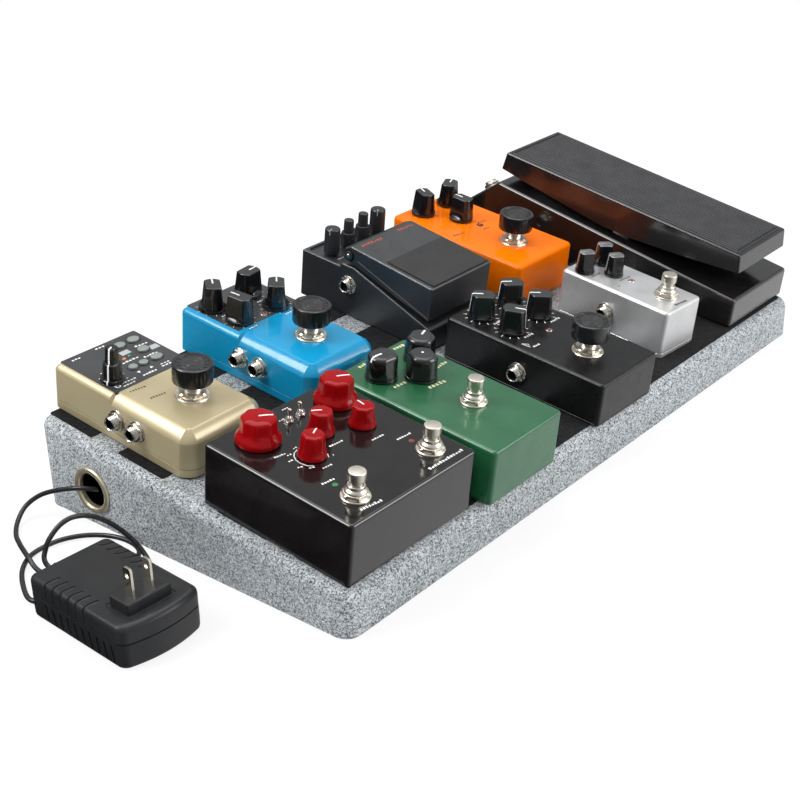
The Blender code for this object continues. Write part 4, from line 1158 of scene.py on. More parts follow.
b.at(T((0, 0, 0.3)))
b.label(G(-212.4, 248.7), G(-204.6, 248.3), 1.5, 3)
b.label(G(-212.0, 223.9), G(-198.6, 223.8), 1.4, 5)
b.label(G(-197.2, 220.8), G(-185.9, 220.6), 1.4, 5)
b.label(G(-192.4, 234.6), G(-182.2, 233.9), 1.5, 4)
b.label(G(-212.4, 204.9), G(-201.0, 204.7), 1.4, 5)
b.label(G(-195.5, 207.9), G(-188.0, 207.5), 1.3, 3)
b.label(G(-196.5, 205.4), G(-188.4, 205.2), 1.3, 3)
b.label(G(-228.5, 206.4), G(-216.6, 205.9), 1.4, 5)
b.label(G(-229.5, 203.2), G(-219.6, 203.2), 1.4, 4)
b.label(G(-232.0, 247.0), G(-225.0, 247.0), 1.3, 3)
for tx, ts, up in ((-210.9, 209.6, -1), (-201.5, 209.2, 1)):
    x, s = G(tx, ts)
    b.poly([(x - 1.3, s - 0.9 * up), (x + 1.3, s - 0.9 * up), (x, s + 1.2 * up)])
for tx, ts in ((-228.8, 223.6), (-233.6, 219.5), (-238.0 + 2, 213.0), (-233.0, 206.6), (-224.6, 223.0), (-221.0, 209.0),
               (-219.6, 214.5)):
    x, s = G(tx, ts)
    b.at(T((x, s, 0.3)))
    b.lathe([(0, 0.09), (0.45, 0.09), (0.5, -0.1), (0, -0.1)], n=12)
b.at(T((0, 0, 0.3)))
x, s = G(-231.4, 205.2)
b.at(T((x, s, 0.3)) @ Matrix.Diagonal((1.0, 0.7, 1, 1)))
b.lathe([(1.2, -0.1), (1.9, -0.1), (1.9, 0.09), (1.2, 0.09)], n=24, closed=True)
piece("gold_panel_print", b, [WHITE], on_slope(cx, cs, g_top), wn=False)
b = Build()
b.at(T((0, 0, 0.3)))
for qx, qs, hw, hh in ((-201.4, 233.2, 3.6, 2.3), (-183.2, 227.0, 3.4, 2.4)):
    x, s = G(qx, qs)
    b.poly([(x - hw, s - hh), (x + hw, s - hh), (x + hw, s + hh), (x - hw, s + hh)])
piece("gold_panel_tags", b, [GREYPRINT], on_slope(cx, cs, g_top), wn=False)
for name, x, s, m in (("gold_led_orange", -206.9, 227.6, LED_ORANGE), ("gold_led_green", -202.0, 228.2, LED_GREEN)):
    b = Build()
    b.lathe([(0, 0.75), (0.8, 0.6), (1.15, 0.25), (1.2, -0.1), (0, -0.1)], n=20)
    piece(name, b, [m], on_slope(x, s, g_top + 0.3))
# generic printed dashes on the paint
b = Build()
b.at(T((0, 0, 0)))
b.label((-230.8, 196.5), (-219.0, 195.0), 2.0, 6, 0.6)
b.label((-227.0, 182.6), (-215.4, 181.4), 2.0, 6, 0.6)
for x0 in (-231.0, -226.0):
    pass
piece("gold_print", b, [BROWNPRINT], on_slope(0, 0, g_top), wn=False)

# ------------------------------------------------------------- blue panel
bt = TOP["blue_case"]
b = Build()
rbox(b, 29.5, 23.75, -3.4, 0.3, 1.2, 0.12, k=3, seg=2, low=0)
bx, bs = -102.2, 227.85
piece("blue_panel", b, [PANEL_BLUE], on_slope(bx, bs, bt))
b = Build()
b.at(T((0, 0, 0.3)))
for node in ("blue_knob_level", "blue_knob_tone", "blue_knob_speed", "blue_knob_mix"):
    x, s = mid(node)
    x, s = x - bx, s - bs
    r0 = 9.8
    for i in range(9):
        a = math.radians(-60 + 300 * i / 8)
        b.strip((x + r0 * math.cos(a), s + r0 * math.sin(a)), (x + (r0 + 1.2) * math.cos(a), s + (r0 + 1.2) * math.sin(a)), 0.35)
    b.label((x - 4.0, s - r0 - 2.4), (x + 4.0, s - r0 - 2.4), 1.3, 4)
piece("blue_panel_print", b, [WHITE], on_slope(bx, bs, bt), wn=False)
b = Build()
for name in ("blue_knob_level", "blue_knob_tone", "blue_knob_speed", "blue_knob_mix"):
    x, s = mid(name)
    knob_seat(b, x - bx, s - bs, 4.6)
piece("blue_knob_washers", b, [CHROME], on_slope(bx, bs, bt + 0.05))

# ------------------------------------------------------- washers under knobs
for case, names in (("orange_case", ("orange_knob_left", "orange_knob_right", "orange_knob_front")),
                    ("green_case", ("green_knob_left", "green_knob_right", "green_knob_front")),
                    ("gain_case", ("gain_knob_rear_left", "gain_knob_rear_right", "gain_knob_front_right",
                                   "gain_knob_front_left")),
                    ("silver_case", ("silver_knob_left", "silver_knob_right", "silver_knob_front")),
                    ("delay_case", ("delay_knob_level", "delay_knob_reverb", "delay_knob_repeat",
                                    "delay_knob_time", "delay_knob_decay")),
                    ("gold_case", ("gold_knob_level",))):
    b = Build()
    mx, my = MID[case]
    for node in names:
        x, s = mid(node)
        knob_seat(b, x - mx, s - my, 4.6)
    piece(case.split("_")[0] + "_knob_washers", b, [CHROME], on_slope(mx, my, TOP[case]))

# ----------------------------------------------------------------- printing
b = Build()   # delay
b.path([(-215.8, 75.0), (-219.0, 74.2), (-221.8, 71.9), (-223.8, 68.6), (-224.4, 64.8), (-223.4, 60.3), (-221.0, 57.6)], 0.55)
b.path([(-206.3, 63.0), (-206.9, 60.2), (-208.8, 57.7)], 0.55)
b.label((-230.9, 78.4), (-223.0, 77.2), 1.4, 5)
b.label((-217.1, 77.4), (-213.7, 77.1), 1.2, 2)
b.label((-224.5, 75.1), (-220.8, 74.3), 1.2, 2)
b.label((-228.2, 70.4), (-224.7, 69.8), 1.2, 2)
b.label((-229.0, 62.9), (-225.6, 61.6), 1.2, 2)
b.label((-224.7, 58.4), (-221.2, 56.8), 1.2, 2)
b.label((-205.7, 57.9), (-204.5, 57.7), 1.2, 1)
b.label((-219.6, 53.0), (-212.5, 52.1), 1.4, 4)
b.label((-200.6, 65.0), (-190.0, 64.1), 1.5, 6)
b.label((-178.2, 52.7), (-168.6, 51.9), 1.5, 5)
b.label((-231.4, 42.9), (-221.9, 41.8), 1.5, 5)
b.label((-234.6, 12.9), (-218.9, 10.6), 2.0, 8)
b.label((-167.6, 43.1), (-156.1, 42.2), 1.5, 6)
b.label((-178.1, 11.5), (-148.2, 10.7), 2.0, 13)
b.label((-191.4, 109.8), (-186.4, 109.5), 1.1, 3)
b.label((-201.5, 102.6), (-197.1, 102.4), 1.1, 3)
piece("delay_print", b, [WHITE], on_slope(0, 0, TOP["delay_case"]), wn=False)

b = Build()   # gain: ticks round each knob, labels
for node, ang in (("gain_knob_rear_left", 0), ("gain_knob_rear_right", 0), ("gain_knob_front_right", 0),
                  ("gain_knob_front_left", 0)):
    x, s = mid(node)
    for i in range(11):
        a = math.radians(-60 + 300 * i / 10 + 0)
        b.strip((x + 10.0 * math.cos(a), s + 10.0 * math.sin(a)), (x + 11.7 * math.cos(a), s + 11.7 * math.sin(a)), 0.6)
b.label((0.6, 97.4), (9.4, 97.0), 2.0, 5)
b.label((0.6, 72.6), (10.0, 71.6), 2.0, 4)
b.label((32.0, 73.0), (42.0, 72.4), 2.0, 5)
b.label((29.6, 96.4), (38.4, 96.0), 2.0, 4)
b.path([(-7.6, 68.4), (-4.8, 65.2), (-7.0, 61.6), (-7.6, 68.4)], 0.6)
b.label((-5.4, 60.8), (1.4, 60.2), 1.6, 3)
piece("gain_print", b, [WHITE], on_slope(0, 0, TOP["gain_case"]), wn=False)

b = Build()   # green
b.label((-84.0, 114.9), (-74.0, 113.9), 2.6, 4)
b.label((-117.6, 114.6), (-110.6, 115.3), 2.6, 3)
b.label((-120.6, 84.7), (-109.4, 83.8), 3.0, 4)
b.label((-105.4, 69.6), (-90.4, 67.8), 3.0, 5)
b.label((-82.2, 81.6), (-71.4, 82.2), 3.0, 4)
piece("green_print", b, [CREAM], on_slope(0, 0, TOP["green_case"]), wn=False)

b = Build()   # silver
b.label((102.6, 86.9), (113.4, 86.3), 1.4, 6)
b.label((113.4, 69.9), (124.8, 68.5), 1.4, 6)
b.label((110.0, 22.8), (122.6, 21.0), 2.2, 5)
b.path([(104.4, 66.2), (105.6, 65.0), (107.0, 66.4)], 0.4)
piece("silver_print", b, [DARKPRINT], on_slope(0, 0, TOP["silver_case"]), wn=False)

b = Build()   # orange
b.label((86.0, 197.6), (96.4, 195.2), 1.7, 6)
b.label((112.4, 189.3), (119.4, 189.1), 1.3, 3)
b.label((118.0, 199.4), (127.6, 198.2), 1.3, 4)
for node in ("orange_knob_left", "orange_knob_right", "orange_knob_front"):
    x, s = mid(node)
    for i in range(9):
        a = math.radians(-60 + 300 * i / 8)
        b.strip((x + 9.5 * math.cos(a), s + 9.5 * math.sin(a)), (x + 10.9 * math.cos(a), s + 10.9 * math.sin(a)), 0.45)
piece("orange_print", b, [DARKPRINT], on_slope(0, 0, TOP["orange_case"]), wn=False)


# ------------------------------------------------------------ compact pedal
def prism_mesh(outline, width, mats, bevel, seg=3, wall=None, open_low=None, loops=()):
    """Side outline (s, n) run through width; edges rounded; hollow if wall."""
    bm = bmesh.new()
    vs = [bm.verts.new((-width / 2 * 0.001, s * 0.001, n * 0.001)) for s, n in outline]
    f = bm.faces.new(vs)
    ext = bmesh.ops.extrude_face_region(bm, geom=[f])
    mv = [e for e in ext["geom"] if isinstance(e, bmesh.types.BMVert)]
    bmesh.ops.translate(bm, vec=(width * 0.001, 0, 0), verts=mv)
    bmesh.ops.recalc_face_normals(bm, faces=bm.faces)
    if open_low is not None:
        low = [f for f in bm.faces if f.normal.z < open_low and abs(f.normal.x) < 0.5]
        bmesh.ops.delete(bm, geom=low, context='FACES_ONLY')
    me = bpy.data.meshes.new("prism")
    bm.to_mesh(me)
    bm.free()
    for m in mats:
        me.materials.append(m)
    ob = temp(me)
    bv = ob.modifiers.new("round", 'BEVEL')
    bv.width = bevel * 0.001
    bv.segments = seg
    bv.limit_method = 'ANGLE'
    bv.angle_limit = math.radians(25)
    if wall:
        so = ob.modifiers.new("wall", 'SOLIDIFY')
        so.thickness = wall * 0.001
        so.offset = -1.0
        so.use_even_offset = True
        ob.modifiers.new("flat faces", 'TRIANGULATE')
    return baked(ob)


cpx = mid("compact_base")[0]
out = [(135.1, 0.8), (136.1, 16.3), (139.1, 18.1), (206.0, 38.8), (217.5, 38.8), (218.5, 36.3), (254.1, 36.3),
       (254.1, 0.8)]
me = prism_mesh(out, 67.8, [CAST, DARKHOLE], 1.5, 4)
# a shallow well round the controls
b = Build()
b.at(T((0, 236.4, 36.3)))
rbox(b, 30.6, 14.6, -1.4, 3.0, 2.2, 0.2, k=4, seg=2, low=0.3)
me = cut(me, to_mesh("well", b, [CAST]))
place("compact_body", me, on_slope(cpx, 0, 0), nodes=("compact_base",), sharp=30)
b = Build()
for side in (-1, 1):
    # pivot bosses with a ring and a screw on each side of the treadle
    b.at(T((side * 33.9, 211.0, 46.6)) @ Rot(90 * side, 'Y'))
    b.mat(0)
    b.lathe([(0, -6.2), (1.8, -6.2), (1.8, -0.6), (3.4, -0.6), (3.6, -0.2), (3.5, 0.5), (2.4, 0.9), (0, 0.9)], n=32)
    b.mat(1)
    b.lathe([(0, 0.8), (1.5, 0.8), (1.6, 1.0), (1.3, 1.25), (0, 1.3)], n=20)
b.at()
b.mat(0)
for side in (-1, 1):
    rbx = side * 27.7
    b.at(T((rbx, 210.0, 0)))
    b.loft([rrect(2.0, 3.0, 0.5, 38.0, 2), rrect(2.0, 3.0, 0.5, 48.2, 2)])
b.at()
piece("compact_pivots", b, [CAST, CHROME], on_slope(cpx, 0, 0))
b = Build()
for node in ("compact_knob_level", "compact_eq_a_outer", "compact_eq_b_outer", "compact_knob_dist"):
    x, s = mid(node)
    b.at(T((x - cpx, s, 0)))
    b.lathe([(0, -1.6), (4.2, -1.6), (4.2, 0.1), (3.9, 0.3), (0, 0.3)], n=28)
b.at()
piece("compact_knob_bushes", b, [CKNOB], on_slope(cpx, 0, 36.3))
b = Build()
b.at(T((0, 0, 0)))
for node in ("compact_knob_level", "compact_eq_a_outer", "compact_eq_b_outer", "compact_knob_dist"):
    x, s = mid(node)
    b.label((x - cpx - 3.4, s - 8.6), (x - cpx + 3.4, s - 8.6), 1.3, 4)
piece("compact_print", b, [GREYPRINT], on_slope(cpx, 0, 36.3 - 1.4), wn=False)
# thumbscrew on the sloped front
b = Build()
b.lathe([(0, 0.4), (2.6, 0.4), (4.4, 0.5), (4.6, 1.2), (4.6, 5.2), (4.2, 5.7), (3.2, 5.8), (2.8, 5.4), (0, 5.4)], n=48,
        fn=lambda a, r, z: r * (1 - (0.06 if 1 < z < 5.4 and r > 4.3 else 0.0) * (0.5 + 0.5 * math.cos(24 * a))))
piece("compact_thumbscrew", b, [CKNOB], on_slope(cpx + 12.5, 136.4, 11.0) @ Rot(90, 'X') @ Rot(0, 'Z'))

# treadle
tp_s, tp_n = 211.0, 46.6
out = [(138.6, 23.0), (137.6, 47.6), (210.2, 53.6), (216.0, 50.6), (216.4, 43.5)]
me = prism_mesh([(s - tp_s, n - tp_n) for s, n in out], 66.6, [CAST], 1.3, 4, wall=2.2, open_low=-0.5)
b = Build()
b.at(Rot(90, 'Y'))
b.lathe([(0, -40), (4.2, -40), (4.2, 40), (0, 40)], n=40)
me = cut(me, to_mesh("pin", b, [CAST]))
place("compact_treadle_cover", me, on_slope(cpx, tp_s, tp_n), "compact_treadle", ("compact_treadle",),
      sharp=30)
# plane of the treadle's top
rise_t = math.degrees(math.atan2(53.6 - 47.6, 210.2 - 137.6))
top_plane = on_slope(cpx, 137.6, 47.6) @ Rot(rise_t, 'X')
b = Build()
# recess line round the pad, and the pad itself
b.mat(1)
rbox(b, 31.1, 21.3, -0.3, 0.06, 1.4, 0.02, k=4, seg=1, low=0, cx=0.6, cy=22.2)
b.mat(0)
rbox(b, 30.2, 20.4, -0.3, 1.0, 1.2, 0.4, k=4, seg=3, low=0, cx=0.6, cy=22.2)
piece("compact_pad", b, [PAD, DARKHOLE], top_plane, "compact_treadle")
b = Build()
b.label((-27.0, 68.6), (-5.6, 68.0), 2.6, 7, 0.68)
b.label((12.0, 68.6), (29.0, 68.0), 2.2, 6, 0.68)
piece("compact_treadle_print", b, [REDPRINT], top_plane, "compact_treadle", wn=False)
# raised ridge lines along the treadle's side walls
for side in (-1, 1):
    b = Build()
    x = side * 33.3
    b.tube([(x, 139.6 - tp_s, 24.6 - tp_n), (x, 203.0 - tp_s, 44.4 - tp_n)], 0.55, 8)
    piece("compact_treadle_ridge_%s" % ("left" if side < 0 else "right"), b, [CAST],
          on_slope(cpx, tp_s, tp_n), "compact_treadle")

# --------------------------------------------------------------------- wah
wx = mid("wah_base")[0]
out = [(7.2, 0.8), (7.2, 23.3), (220.5, 45.9), (248.2, 22.4), (248.2, 0.8)]
me = prism_mesh(out, 81.4, [WAHBLACK], 2.5, 5)
place("wah_body", me, on_slope(wx, 0, 0), nodes=("wah_base",), sharp=30)
b = Build()
for side in (-1, 1):
    b.at(T((side * 26.25, 113.0, 0)))
    b.loft([rrect(3.0, 8.0, 1.5, 33.0, 3), rrect(3.0, 8.0, 1.5, 45.0, 3), rrect(3.0, 5.5, 1.5, 47.0, 3)])
    b.at(T((side * 30.0, 113.0, 43.6)) @ Rot(90, 'Y'))
    b.lathe([(0, -2.2), (2.5, -2.2), (2.5, 2.2), (0, 2.2)], n=24)
b.at()
piece("wah_pivot_ears", b, [WAHBLACK], on_slope(wx, 0, 0))
wps, wpn = 113.0, 43.6
out = [(11.0, 42.2), (12.6, 55.4), (219.4, 69.6), (222.6, 55.6), (200.0, 51.4), (150.0, 43.0), (126.0, 39.2),
       (98.0, 38.2), (60.0, 39.4)]
me = prism_mesh([(s - wps, n - wpn) for s, n in out], 70.5, [TREADLE], 1.5, 4, wall=2.5, open_low=-0.5)
place("wah_treadle_cover", me, on_slope(wx, wps, wpn), "wah_treadle", ("wah_treadle",), sharp=30)
rise_w = math.degrees(math.atan2(69.6 - 55.4, 219.4 - 12.6))
tread = on_slope(wx, 12.6, 55.4) @ Rot(rise_w, 'X')
length_w = math.hypot(69.6 - 55.4, 219.4 - 12.6)
b = Build()
# raised frame round the mat
fx, fy0, fy1 = 32.6, 2.4, length_w - 2.4
cyf = (fy0 + fy1) / 2
hyf = (fy1 - fy0) / 2
outer = [(fx, hyf, 1.6), (fx - 0.3, hyf - 0.3, 1.4)]
rings = [rrect(fx, hyf, 1.6, -0.2, 4, 0, cyf), rrect(fx, hyf, 1.6, 0.35, 4, 0, cyf),
         rrect(fx - 0.3, hyf - 0.3, 1.4, 0.6, 4, 0, cyf), rrect(fx - 1.6, hyf - 1.6, 0.9, 0.6, 4, 0, cyf),
         rrect(fx - 1.9, hyf - 1.9, 0.8, 0.3, 4, 0, cyf), rrect(fx - 1.9, hyf - 1.9, 0.8, -0.2, 4, 0, cyf)]
b.loft(rings, closed=True)
b.mat(1)
b.mat(2)
rbox(b, fx - 1.9, hyf - 1.9, -0.2, 0.02, 0.7, 0.01, k=3, seg=1, low=0, cy=cyf)
b.mat(1)
ribs = 25
span = 2 * (fx - 2.9)
y0, y1 = fy0 + 3.2, fy1 - 3.2
for i in range(ribs):
    x = -span / 2 + span * i / (ribs - 1)
    w = 0.72
    sec = [(-w, -0.1), (-w * 0.7, 0.95), (w * 0.7, 0.95), (w, -0.1)]
    rings = [[(x + q * 0.5, y0, z if z < 0.5 else 0.3) for q, z in sec],
             [(x + q, y0 + 0.7, z) for q, z in sec], [(x + q, y1 - 0.7, z) for q, z in sec],
             [(x + q * 0.5, y1, z if z < 0.5 else 0.3) for q, z in sec]]
    b.loft(rings)
piece("wah_tread_mat", b, [TREADLE, MAT, DARKHOLE], tread, "wah_treadle", sharp=30)

for i, x in enumerate((wx - 28.0, wx + 28.0)):
    b = Build()
    jack_into(b, reach=5.0)
    piece("wah_jack_%d" % (i + 1), b, [NICKEL, DARKHOLE], on_slope(x, 233.6, 34.5) @ Rot(-40.3, 'X'))

# ----------------------------------------------------------------- adapter
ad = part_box("adapter")
AX, AY = (ad[0].x + ad[1].x) * 500, (ad[0].y + ad[1].y) * 500
AYAW = -3.2
hx, hy, H = 27.5, 40.75, 26.0


def bowed(hx, hy, r, z, k=8, bow=4.6):
    """Rounded outline whose front end is slightly bowed."""
    pts = rrect(hx, hy, r, z, k)
    i = 3 * (k + 1)
    (x0, y0, _), (x1, y1, _) = pts[i - 1], pts[i]
    pts[i:i] = [(x0 + (x1 - x0) * t / 10, y0 + (y1 - y0) * t / 10, z) for t in range(1, 10)]
    out = []
    for x, y, zz in pts:
        if y < 0:
            y -= bow * (1 - (x / hx) ** 2)
        out.append((x, y, zz))
    return out


b = Build()
rings, mats = [], []
levels = [(0.0, 1.9), (0.4, 1.1), (1.2, 0.5), (2.4, 0.15), (6.5, 0.0), (11.0, 0.0), (14.6, 0.0), (14.9, 0.05),
          (15.1, 0.75), (15.5, 0.75), (15.7, 0.05), (20.0, 0.0)]
for z, ins in levels:
    rings.append(bowed(hx - ins, hy - ins, max(5.2 - ins, 2.0), z))
    mats.append(0)
e = 3.8
for i in range(9):
    a = math.pi / 2 * i / 8
    ins = e * (1 - math.cos(a))
    rings.append(bowed(hx - ins, hy - ins, max(5.2 - ins, 1.2), H - e * (1 - math.sin(a)) * 1.0))
    mats.append(0)
b.loft(rings, mats=mats)
body_me = to_mesh("adapter_body", b, [ADAPTER])
# slots: low on the long walls, and hooked grooves over the top edges
c = Build()
for side in (-1, 1):
    for i in range(10):
        y = -33.0 + 6.4 * i
        c.at(T((side * (hx + 0.2), y, 0)) @ Rot(0, 'X'))
        c.loft([[(-0.9, -0.75 - 0.9, 2.6), (1.2, -0.75 - 0.9, 2.6), (1.2, 0.75 - 0.9, 2.6), (-0.9, 0.75 - 0.9, 2.6)],
                [(-0.9, -0.75 + 0.9, 12.6), (1.2, -0.75 + 0.9, 12.6), (1.2, 0.75 + 0.9, 12.6), (-0.9, 0.75 + 0.9, 12.6)]])
body_me = cut(body_me, to_mesh("slots", c, [ADAPTER]))
c = Build()
for side, ys in ((-1, [-9.5 + 6.8 * i for i in range(6)]), (1, [-4.0 + 7.0 * i for i in range(6)])):
    for y in ys:
        pts = []
        # hooked groove: along the top, over the edge, down the wall
        bend = -0.9 if side < 0 else 3.4
        pts.append((side * (hx - 10.5), y + bend, H + 0.15))
        pts.append((side * (hx - 8.2), y + bend * 0.4, H + 0.1))
        pts.append((side * (hx - 5.6), y + bend * 0.1, H + 0.1))
        for t in (20, 45, 70, 90):
            a = math.radians(t)
            pts.append((side * (hx - e + (e + 0.1) * math.sin(a)), y, H - e + (e + 0.1) * math.cos(a)))
        pts.append((side * (hx + 0.1), y, 16.4))
        c.at()
        c.tube(pts, 1.05, 8)
body_me = cut(body_me, to_mesh("hooks", c, [ADAPTER]))
awld = on_floor(AX, AY, 0, AYAW)
place("adapter_body", body_me, awld, nodes=("adapter",), sharp=34)
# plug block: a recessed outline, a raised pad and the block
b = Build()
rings = [rrect(16.9, 10.2, 1.2, H - 0.3, 3, -1.2, -26.3), rrect(16.9, 10.2, 1.2, H + 0.25, 3, -1.2, -26.3),
         rrect(16.5, 9.8, 1.0, H + 0.35, 3, -1.2, -26.3), rrect(16.2, 9.5, 0.9, H + 0.05, 3, -1.2, -26.3),
         rrect(16.2, 9.5, 0.9, H - 0.3, 3, -1.2, -26.3)]
b.loft(rings, closed=True)
rbox(b, 14.8, 8.0, H - 0.3, H + 6.5, 1.2, 0.9, k=4, seg=3, low=0, cx=-1.2, cy=-26.3)
piece("adapter_plug_block", b, [ADAPTER], awld)
# blades with a hole near the tip
for i, side in enumerate((-1, 1)):
    b = Build()
    x = -1.2 + side * 6.35
    o = [(-3.2, H + 3.5), (-3.2, 46.3), (-2.7, 47.9), (-1.9, 48.5), (1.9, 48.5), (2.7, 47.9), (3.2, 46.3), (3.2, H + 3.5)]
    b.loft([[(x - 0.75, -26.1 + y, z) for y, z in o], [(x + 0.75, -26.1 + y, z) for y, z in o]])
    m1 = to_mesh("blade", b, [BLADE])
    c = Build()
    c.at(T((x, -26.1, 43.6)) @ Rot(90, 'Y'))
    c.lathe([(0, -3), (1.6, -3), (1.6, 3), (0, 3)], n=24)
    m1 = cut(m1, to_mesh("hole", c, [BLADE]))
    place("adapter_blade_%d" % (i + 1), m1, awld, sharp=30)
# strain relief at the back
b = Build()
b.at(T((-2.5, hy - 1.0, 15.0)) @ Rot(-90, 'X'))
prof = [(0, 0.0), (4.2, 0.0), (4.2, 1.0)]
for i in range(5):
    z = 1.4 + 1.9 * i
    r = 3.7 - 0.28 * i
    prof += [(r, z), (r, z + 1.0), (r - 0.7, z + 1.15), (r - 0.7, z + 1.75)]
prof += [(2.0, 11.5), (0, 11.5)]
b.lathe(prof, n=32)
piece("adapter_strain_relief", b, [ADAPTER], awld)
# screws under the adapter
b = Build()
for sx in (-1, 1):
    for sy in (-1, 1):
        b.at(T((sx * 17.0, sy * 30.0, 0.05)))
        b.lathe([(0, 0), (2.4, 0), (2.4, 0.4), (0, 0.4)], n=18)
b.at()
piece("adapter_screws", b, [CHROME], awld)

# -------------------------------------------------------------------- cord
CORD_POINTS = [
    (-319.0, 32.6, 15.0), (-319.6, 42.0, 15.0), (-319.5, 46.5, 18.5), (-317.0, 48.0, 23.0), (-313.6, 47.5, 29.0),
    (-306.5, 46.2, 35.0), (-297.8, 44.8, 36.8), (-287.3, 42.5, 33.6), (-278.5, 39.0, 26.8), (-271.8, 34.0, 18.5),
    (-268.2, 28.0, 11.0), (-267.6, 22.5, 5.8), (-269.3, 16.8, 2.4), (-273.6, 12.9, 1.9), (-278.6, 13.9, 1.9),
    (-280.3, 18.8, 1.9), (-277.0, 23.2, 1.9), (-270.5, 26.8, 1.9), (-263.8, 31.8, 1.9), (-260.3, 40.5, 1.9),
    (-260.5, 52.0, 1.9),
    (-265.0, 63.5, 1.9), (-273.0, 73.0, 1.9), (-284.0, 79.3, 1.9), (-296.0, 81.0, 1.9), (-307.0, 79.2, 1.9),
    (-318.0, 71.6, 1.9), (-327.0, 60.2, 1.9), (-334.8, 45.5, 1.9), (-334.0, 37.5, 1.9), (-327.0, 35.0, 1.9),
    (-319.0, 38.0, 1.9), (-314.5, 46.0, 1.9), (-314.0, 57.0, 1.9), (-313.2, 66.0, 2.6), (-310.8, 75.0, 4.9),
    (-307.4, 84.0, 4.9), (-302.0, 95.0, 2.4), (-296.5, 105.5, 1.9), (-287.5, 115.5, 3.0), (-277.5, 119.5, 8.0),
    (-270.5, 112.0, 15.5), (-266.5, 97.0, 22.5), (-262.0, 84.5, 25.8), (-256.0, 78.0, 24.6), (-246.0, 74.5, 20.0),
    (-236.0, 73.5, 14.0)]


def catmull(points, sub):
    out = []
    p = [Vector(v) for v in points]
    p = [2 * p[0] - p[1]] + p + [2 * p[-1] - p[-2]]
    for i in range(1, len(p) - 2):
        for k in range(sub):
            t = k / sub
            out.append(0.5 * ((2 * p[i]) + (p[i + 1] - p[i - 1]) * t
                              + (2 * p[i - 1] - 5 * p[i] + 4 * p[i + 1] - p[i + 2]) * t * t
                              + (3 * p[i] - p[i - 1] - 3 * p[i + 1] + p[i + 2]) * t ** 3))
    out.append(p[-2])
    return out


b = Build()
b.tube(catmull(CORD_POINTS, 7), 1.5, 16)
piece("cord_lead", b, [CORD], Matrix.Identity(4), nodes=("cord",), sharp=60, wn=False)


# ------------------------------------------------------------ stage, lights
def emission_world():
    w = bpy.data.worlds.new("studio")
    bpy.context.scene.world = w
    w.use_nodes = True
    nt = w.node_tree
    for n in list(nt.nodes):
        nt.nodes.remove(n)
    out = nt.nodes.new("ShaderNodeOutputWorld")
    lp = nt.nodes.new("ShaderNodeLightPath")
    white = nt.nodes.new("ShaderNodeBackground")
    white.inputs["Color"].default_value = (1, 1, 1, 1)
    white.inputs["Strength"].default_value = 1.0
    soft = nt.nodes.new("ShaderNodeBackground")
    soft.inputs["Color"].default_value = (0.97, 0.985, 1.0, 1)
    soft.inputs["Strength"].default_value = 0.62
    gloss = nt.nodes.new("ShaderNodeBackground")
    gloss.inputs["Strength"].default_value = 1.0
    tc = nt.nodes.new("ShaderNodeTexCoord")
    sep = nt.nodes.new("ShaderNodeSeparateXYZ")
    nt.links.new(tc.outputs["Generated"], sep.inputs[0])
    c = ramp(nt, remap(nt, sep.outputs["Z"], -0.2, 1.0, 0.0, 1.0),
             [(0.0, (0.10, 0.10, 0.105)), (0.22, (0.20, 0.205, 0.21)), (0.5, (0.42, 0.43, 0.44)), (1.0, (0.55, 0.56, 0.57))])
    side = nt.nodes.new("ShaderNodeMath")
    side.operation = 'SUBTRACT'
    nt.links.new(sep.outputs["X"], side.inputs[0])
    nt.links.new(sep.outputs["Y"], side.inputs[1])
    lowz = remap(nt, sep.outputs["Z"], 0.05, 0.45, 1.0, 0.0)
    mixw = nt.nodes.new("ShaderNodeMix")
    mixw.data_type = 'RGBA'
    nt.links.new(lowz, mixw.inputs["Factor"])
    nt.links.new(c, mixw.inputs["A"])
    nt.links.new(ramp(nt, remap(nt, side.outputs[0], -1.3, 1.4, 0.0, 1.0),
                      [(0.0, (0.03, 0.03, 0.032)), (0.45, (0.16, 0.163, 0.168)), (1.0, (0.95, 0.96, 0.97))]),
                 mixw.inputs["B"])
    nt.links.new(mixw.outputs["Result"], gloss.inputs["Color"])
    m1 = nt.nodes.new("ShaderNodeMixShader")
    m2 = nt.nodes.new("ShaderNodeMixShader")
    nt.links.new(lp.outputs["Is Glossy Ray"], m1.inputs[0])
    nt.links.new(soft.outputs[0], m1.inputs[1])
    nt.links.new(gloss.outputs[0], m1.inputs[2])
    nt.links.new(lp.outputs["Is Camera Ray"], m2.inputs[0])
    nt.links.new(m1.outputs[0], m2.inputs[1])
    nt.links.new(white.outputs[0], m2.inputs[2])
    nt.links.new(m2.outputs[0], out.inputs["Surface"])


emission_world()
bm = bmesh.new()
bmesh.ops.create_grid(bm, x_segments=8, y_segments=8, size=30.0)
fme = bpy.data.meshes.new("floor")
bm.to_mesh(fme)
bm.free()
floor = bpy.data.objects.new("studio_floor", fme)
bpy.context.scene.collection.objects.link(floor)
floor.location = (0, 0, -0.0003)
m, nt, p = nodes_of("floor_white")
tc = nt.nodes.new("ShaderNodeTexCoord")
fn_ = noise(nt, tc, 3.0, 2.0)
nt.links.new(ramp(nt, fn_.outputs["Fac"], [(0.3, (0.90, 0.90, 0.90)), (0.7, (0.93, 0.93, 0.93))]), p.inputs["Base Color"])
p.inputs["Roughness"].default_value = 0.9
p.inputs["Specular IOR Level"].default_value = 0.05
lp = nt.nodes.new("ShaderNodeLightPath")
em = nt.nodes.new("ShaderNodeEmission")
em.inputs["Strength"].default_value = 1.0
mixw = nt.nodes.new("ShaderNodeMixShader")
mixw.inputs[0].default_value = 0.84
far = nt.nodes.new("ShaderNodeVectorMath")
far.operation = 'LENGTH'
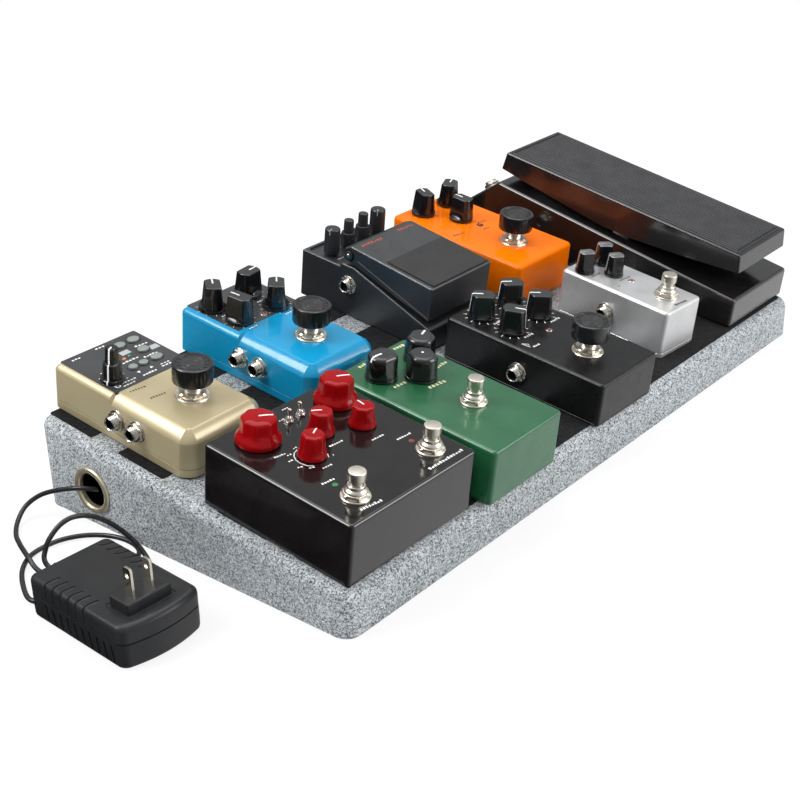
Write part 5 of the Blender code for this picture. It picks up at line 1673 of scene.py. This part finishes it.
where = nt.nodes.new("ShaderNodeNewGeometry")
nt.links.new(where.outputs["Position"], far.inputs[0])
nt.links.new(remap(nt, far.outputs["Value"], 0.55, 1.3, 0.84, 1.0), mixw.inputs[0])
nt.links.new(p.outputs[0], mixw.inputs[1])
nt.links.new(em.outputs[0], mixw.inputs[2])
dark = nt.nodes.new("ShaderNodeEmission")
geo = nt.nodes.new("ShaderNodeNewGeometry")
sep = nt.nodes.new("ShaderNodeSeparateXYZ")
nt.links.new(geo.outputs["Incoming"], sep.inputs[0])
sub = nt.nodes.new("ShaderNodeMath")
sub.operation = 'SUBTRACT'
nt.links.new(sep.outputs["Y"], sub.inputs[0])
nt.links.new(sep.outputs["X"], sub.inputs[1])
nt.links.new(ramp(nt, remap(nt, sub.outputs[0], -1.3, 1.3, 0.0, 1.0),
                  [(0.0, (0.008, 0.008, 0.010)), (0.30, (0.03, 0.03, 0.034)), (0.50, (0.17, 0.172, 0.178)), (1.0, (1.0, 1.0, 1.0))]),
             dark.inputs["Color"])
mixc = nt.nodes.new("ShaderNodeMixShader")
mixg = nt.nodes.new("ShaderNodeMixShader")
nt.links.new(lp.outputs["Is Camera Ray"], mixc.inputs[0])
nt.links.new(p.outputs[0], mixc.inputs[1])
nt.links.new(mixw.outputs[0], mixc.inputs[2])
nt.links.new(lp.outputs["Is Glossy Ray"], mixg.inputs[0])
nt.links.new(mixc.outputs[0], mixg.inputs[1])
nt.links.new(dark.outputs[0], mixg.inputs[2])
out_node = next(n for n in nt.nodes if n.type == 'OUTPUT_MATERIAL')
nt.links.new(mixg.outputs[0], out_node.inputs["Surface"])
fme.materials.append(m)


def area(name, loc, target, size, power, color=(1, 1, 1), size_y=None):
    li = bpy.data.lights.new(name, 'AREA')
    li.energy = power
    li.color = color
    li.shape = 'RECTANGLE'
    li.size = size
    li.size_y = size_y or size
    ob = bpy.data.objects.new(name, li)
    bpy.context.scene.collection.objects.link(ob)
    ob.location = loc
    d = Vector(target) - Vector(loc)
    ob.rotation_euler = d.to_track_quat('-Z', 'Y').to_euler()
    return ob


area("key_top", (0.25, 0.15, 1.5), (0.0, 0.0, 0.05), 1.3, 13.5)
area("front_right", (0.75, -1.35, 0.75), (0.0, 0.0, 0.05), 0.9, 15.0)
area("upper_left", (-0.88, 0.58, 1.15), (-0.1, 0.0, 0.05), 0.55, 14.0, size_y=0.75)

# ------------------------------------------------------------------- camera
cam_data = bpy.data.cameras.new("camera")
cam_data.lens = 67.28
cam_data.sensor_width = 36.0
cam_data.clip_start, cam_data.clip_end = 0.01, 50.0
cam = bpy.data.objects.new("camera", cam_data)
bpy.context.scene.collection.objects.link(cam)
rv = Vector((1.8666, -0.9006, 0.5277))
world_to_cam = Matrix.Rotation(rv.length, 3, rv.normalized())
flip = Matrix(((1, 0, 0), (0, -1, 0), (0, 0, -1)))
rot = (world_to_cam.transposed() @ flip).to_4x4()
cam.matrix_world = T((-0.7394, -0.5712, 0.4697)) @ rot
bpy.context.scene.camera = cam
bpy.context.scene.view_settings.view_transform = 'Standard'
bpy.context.scene.view_settings.look = 'None'
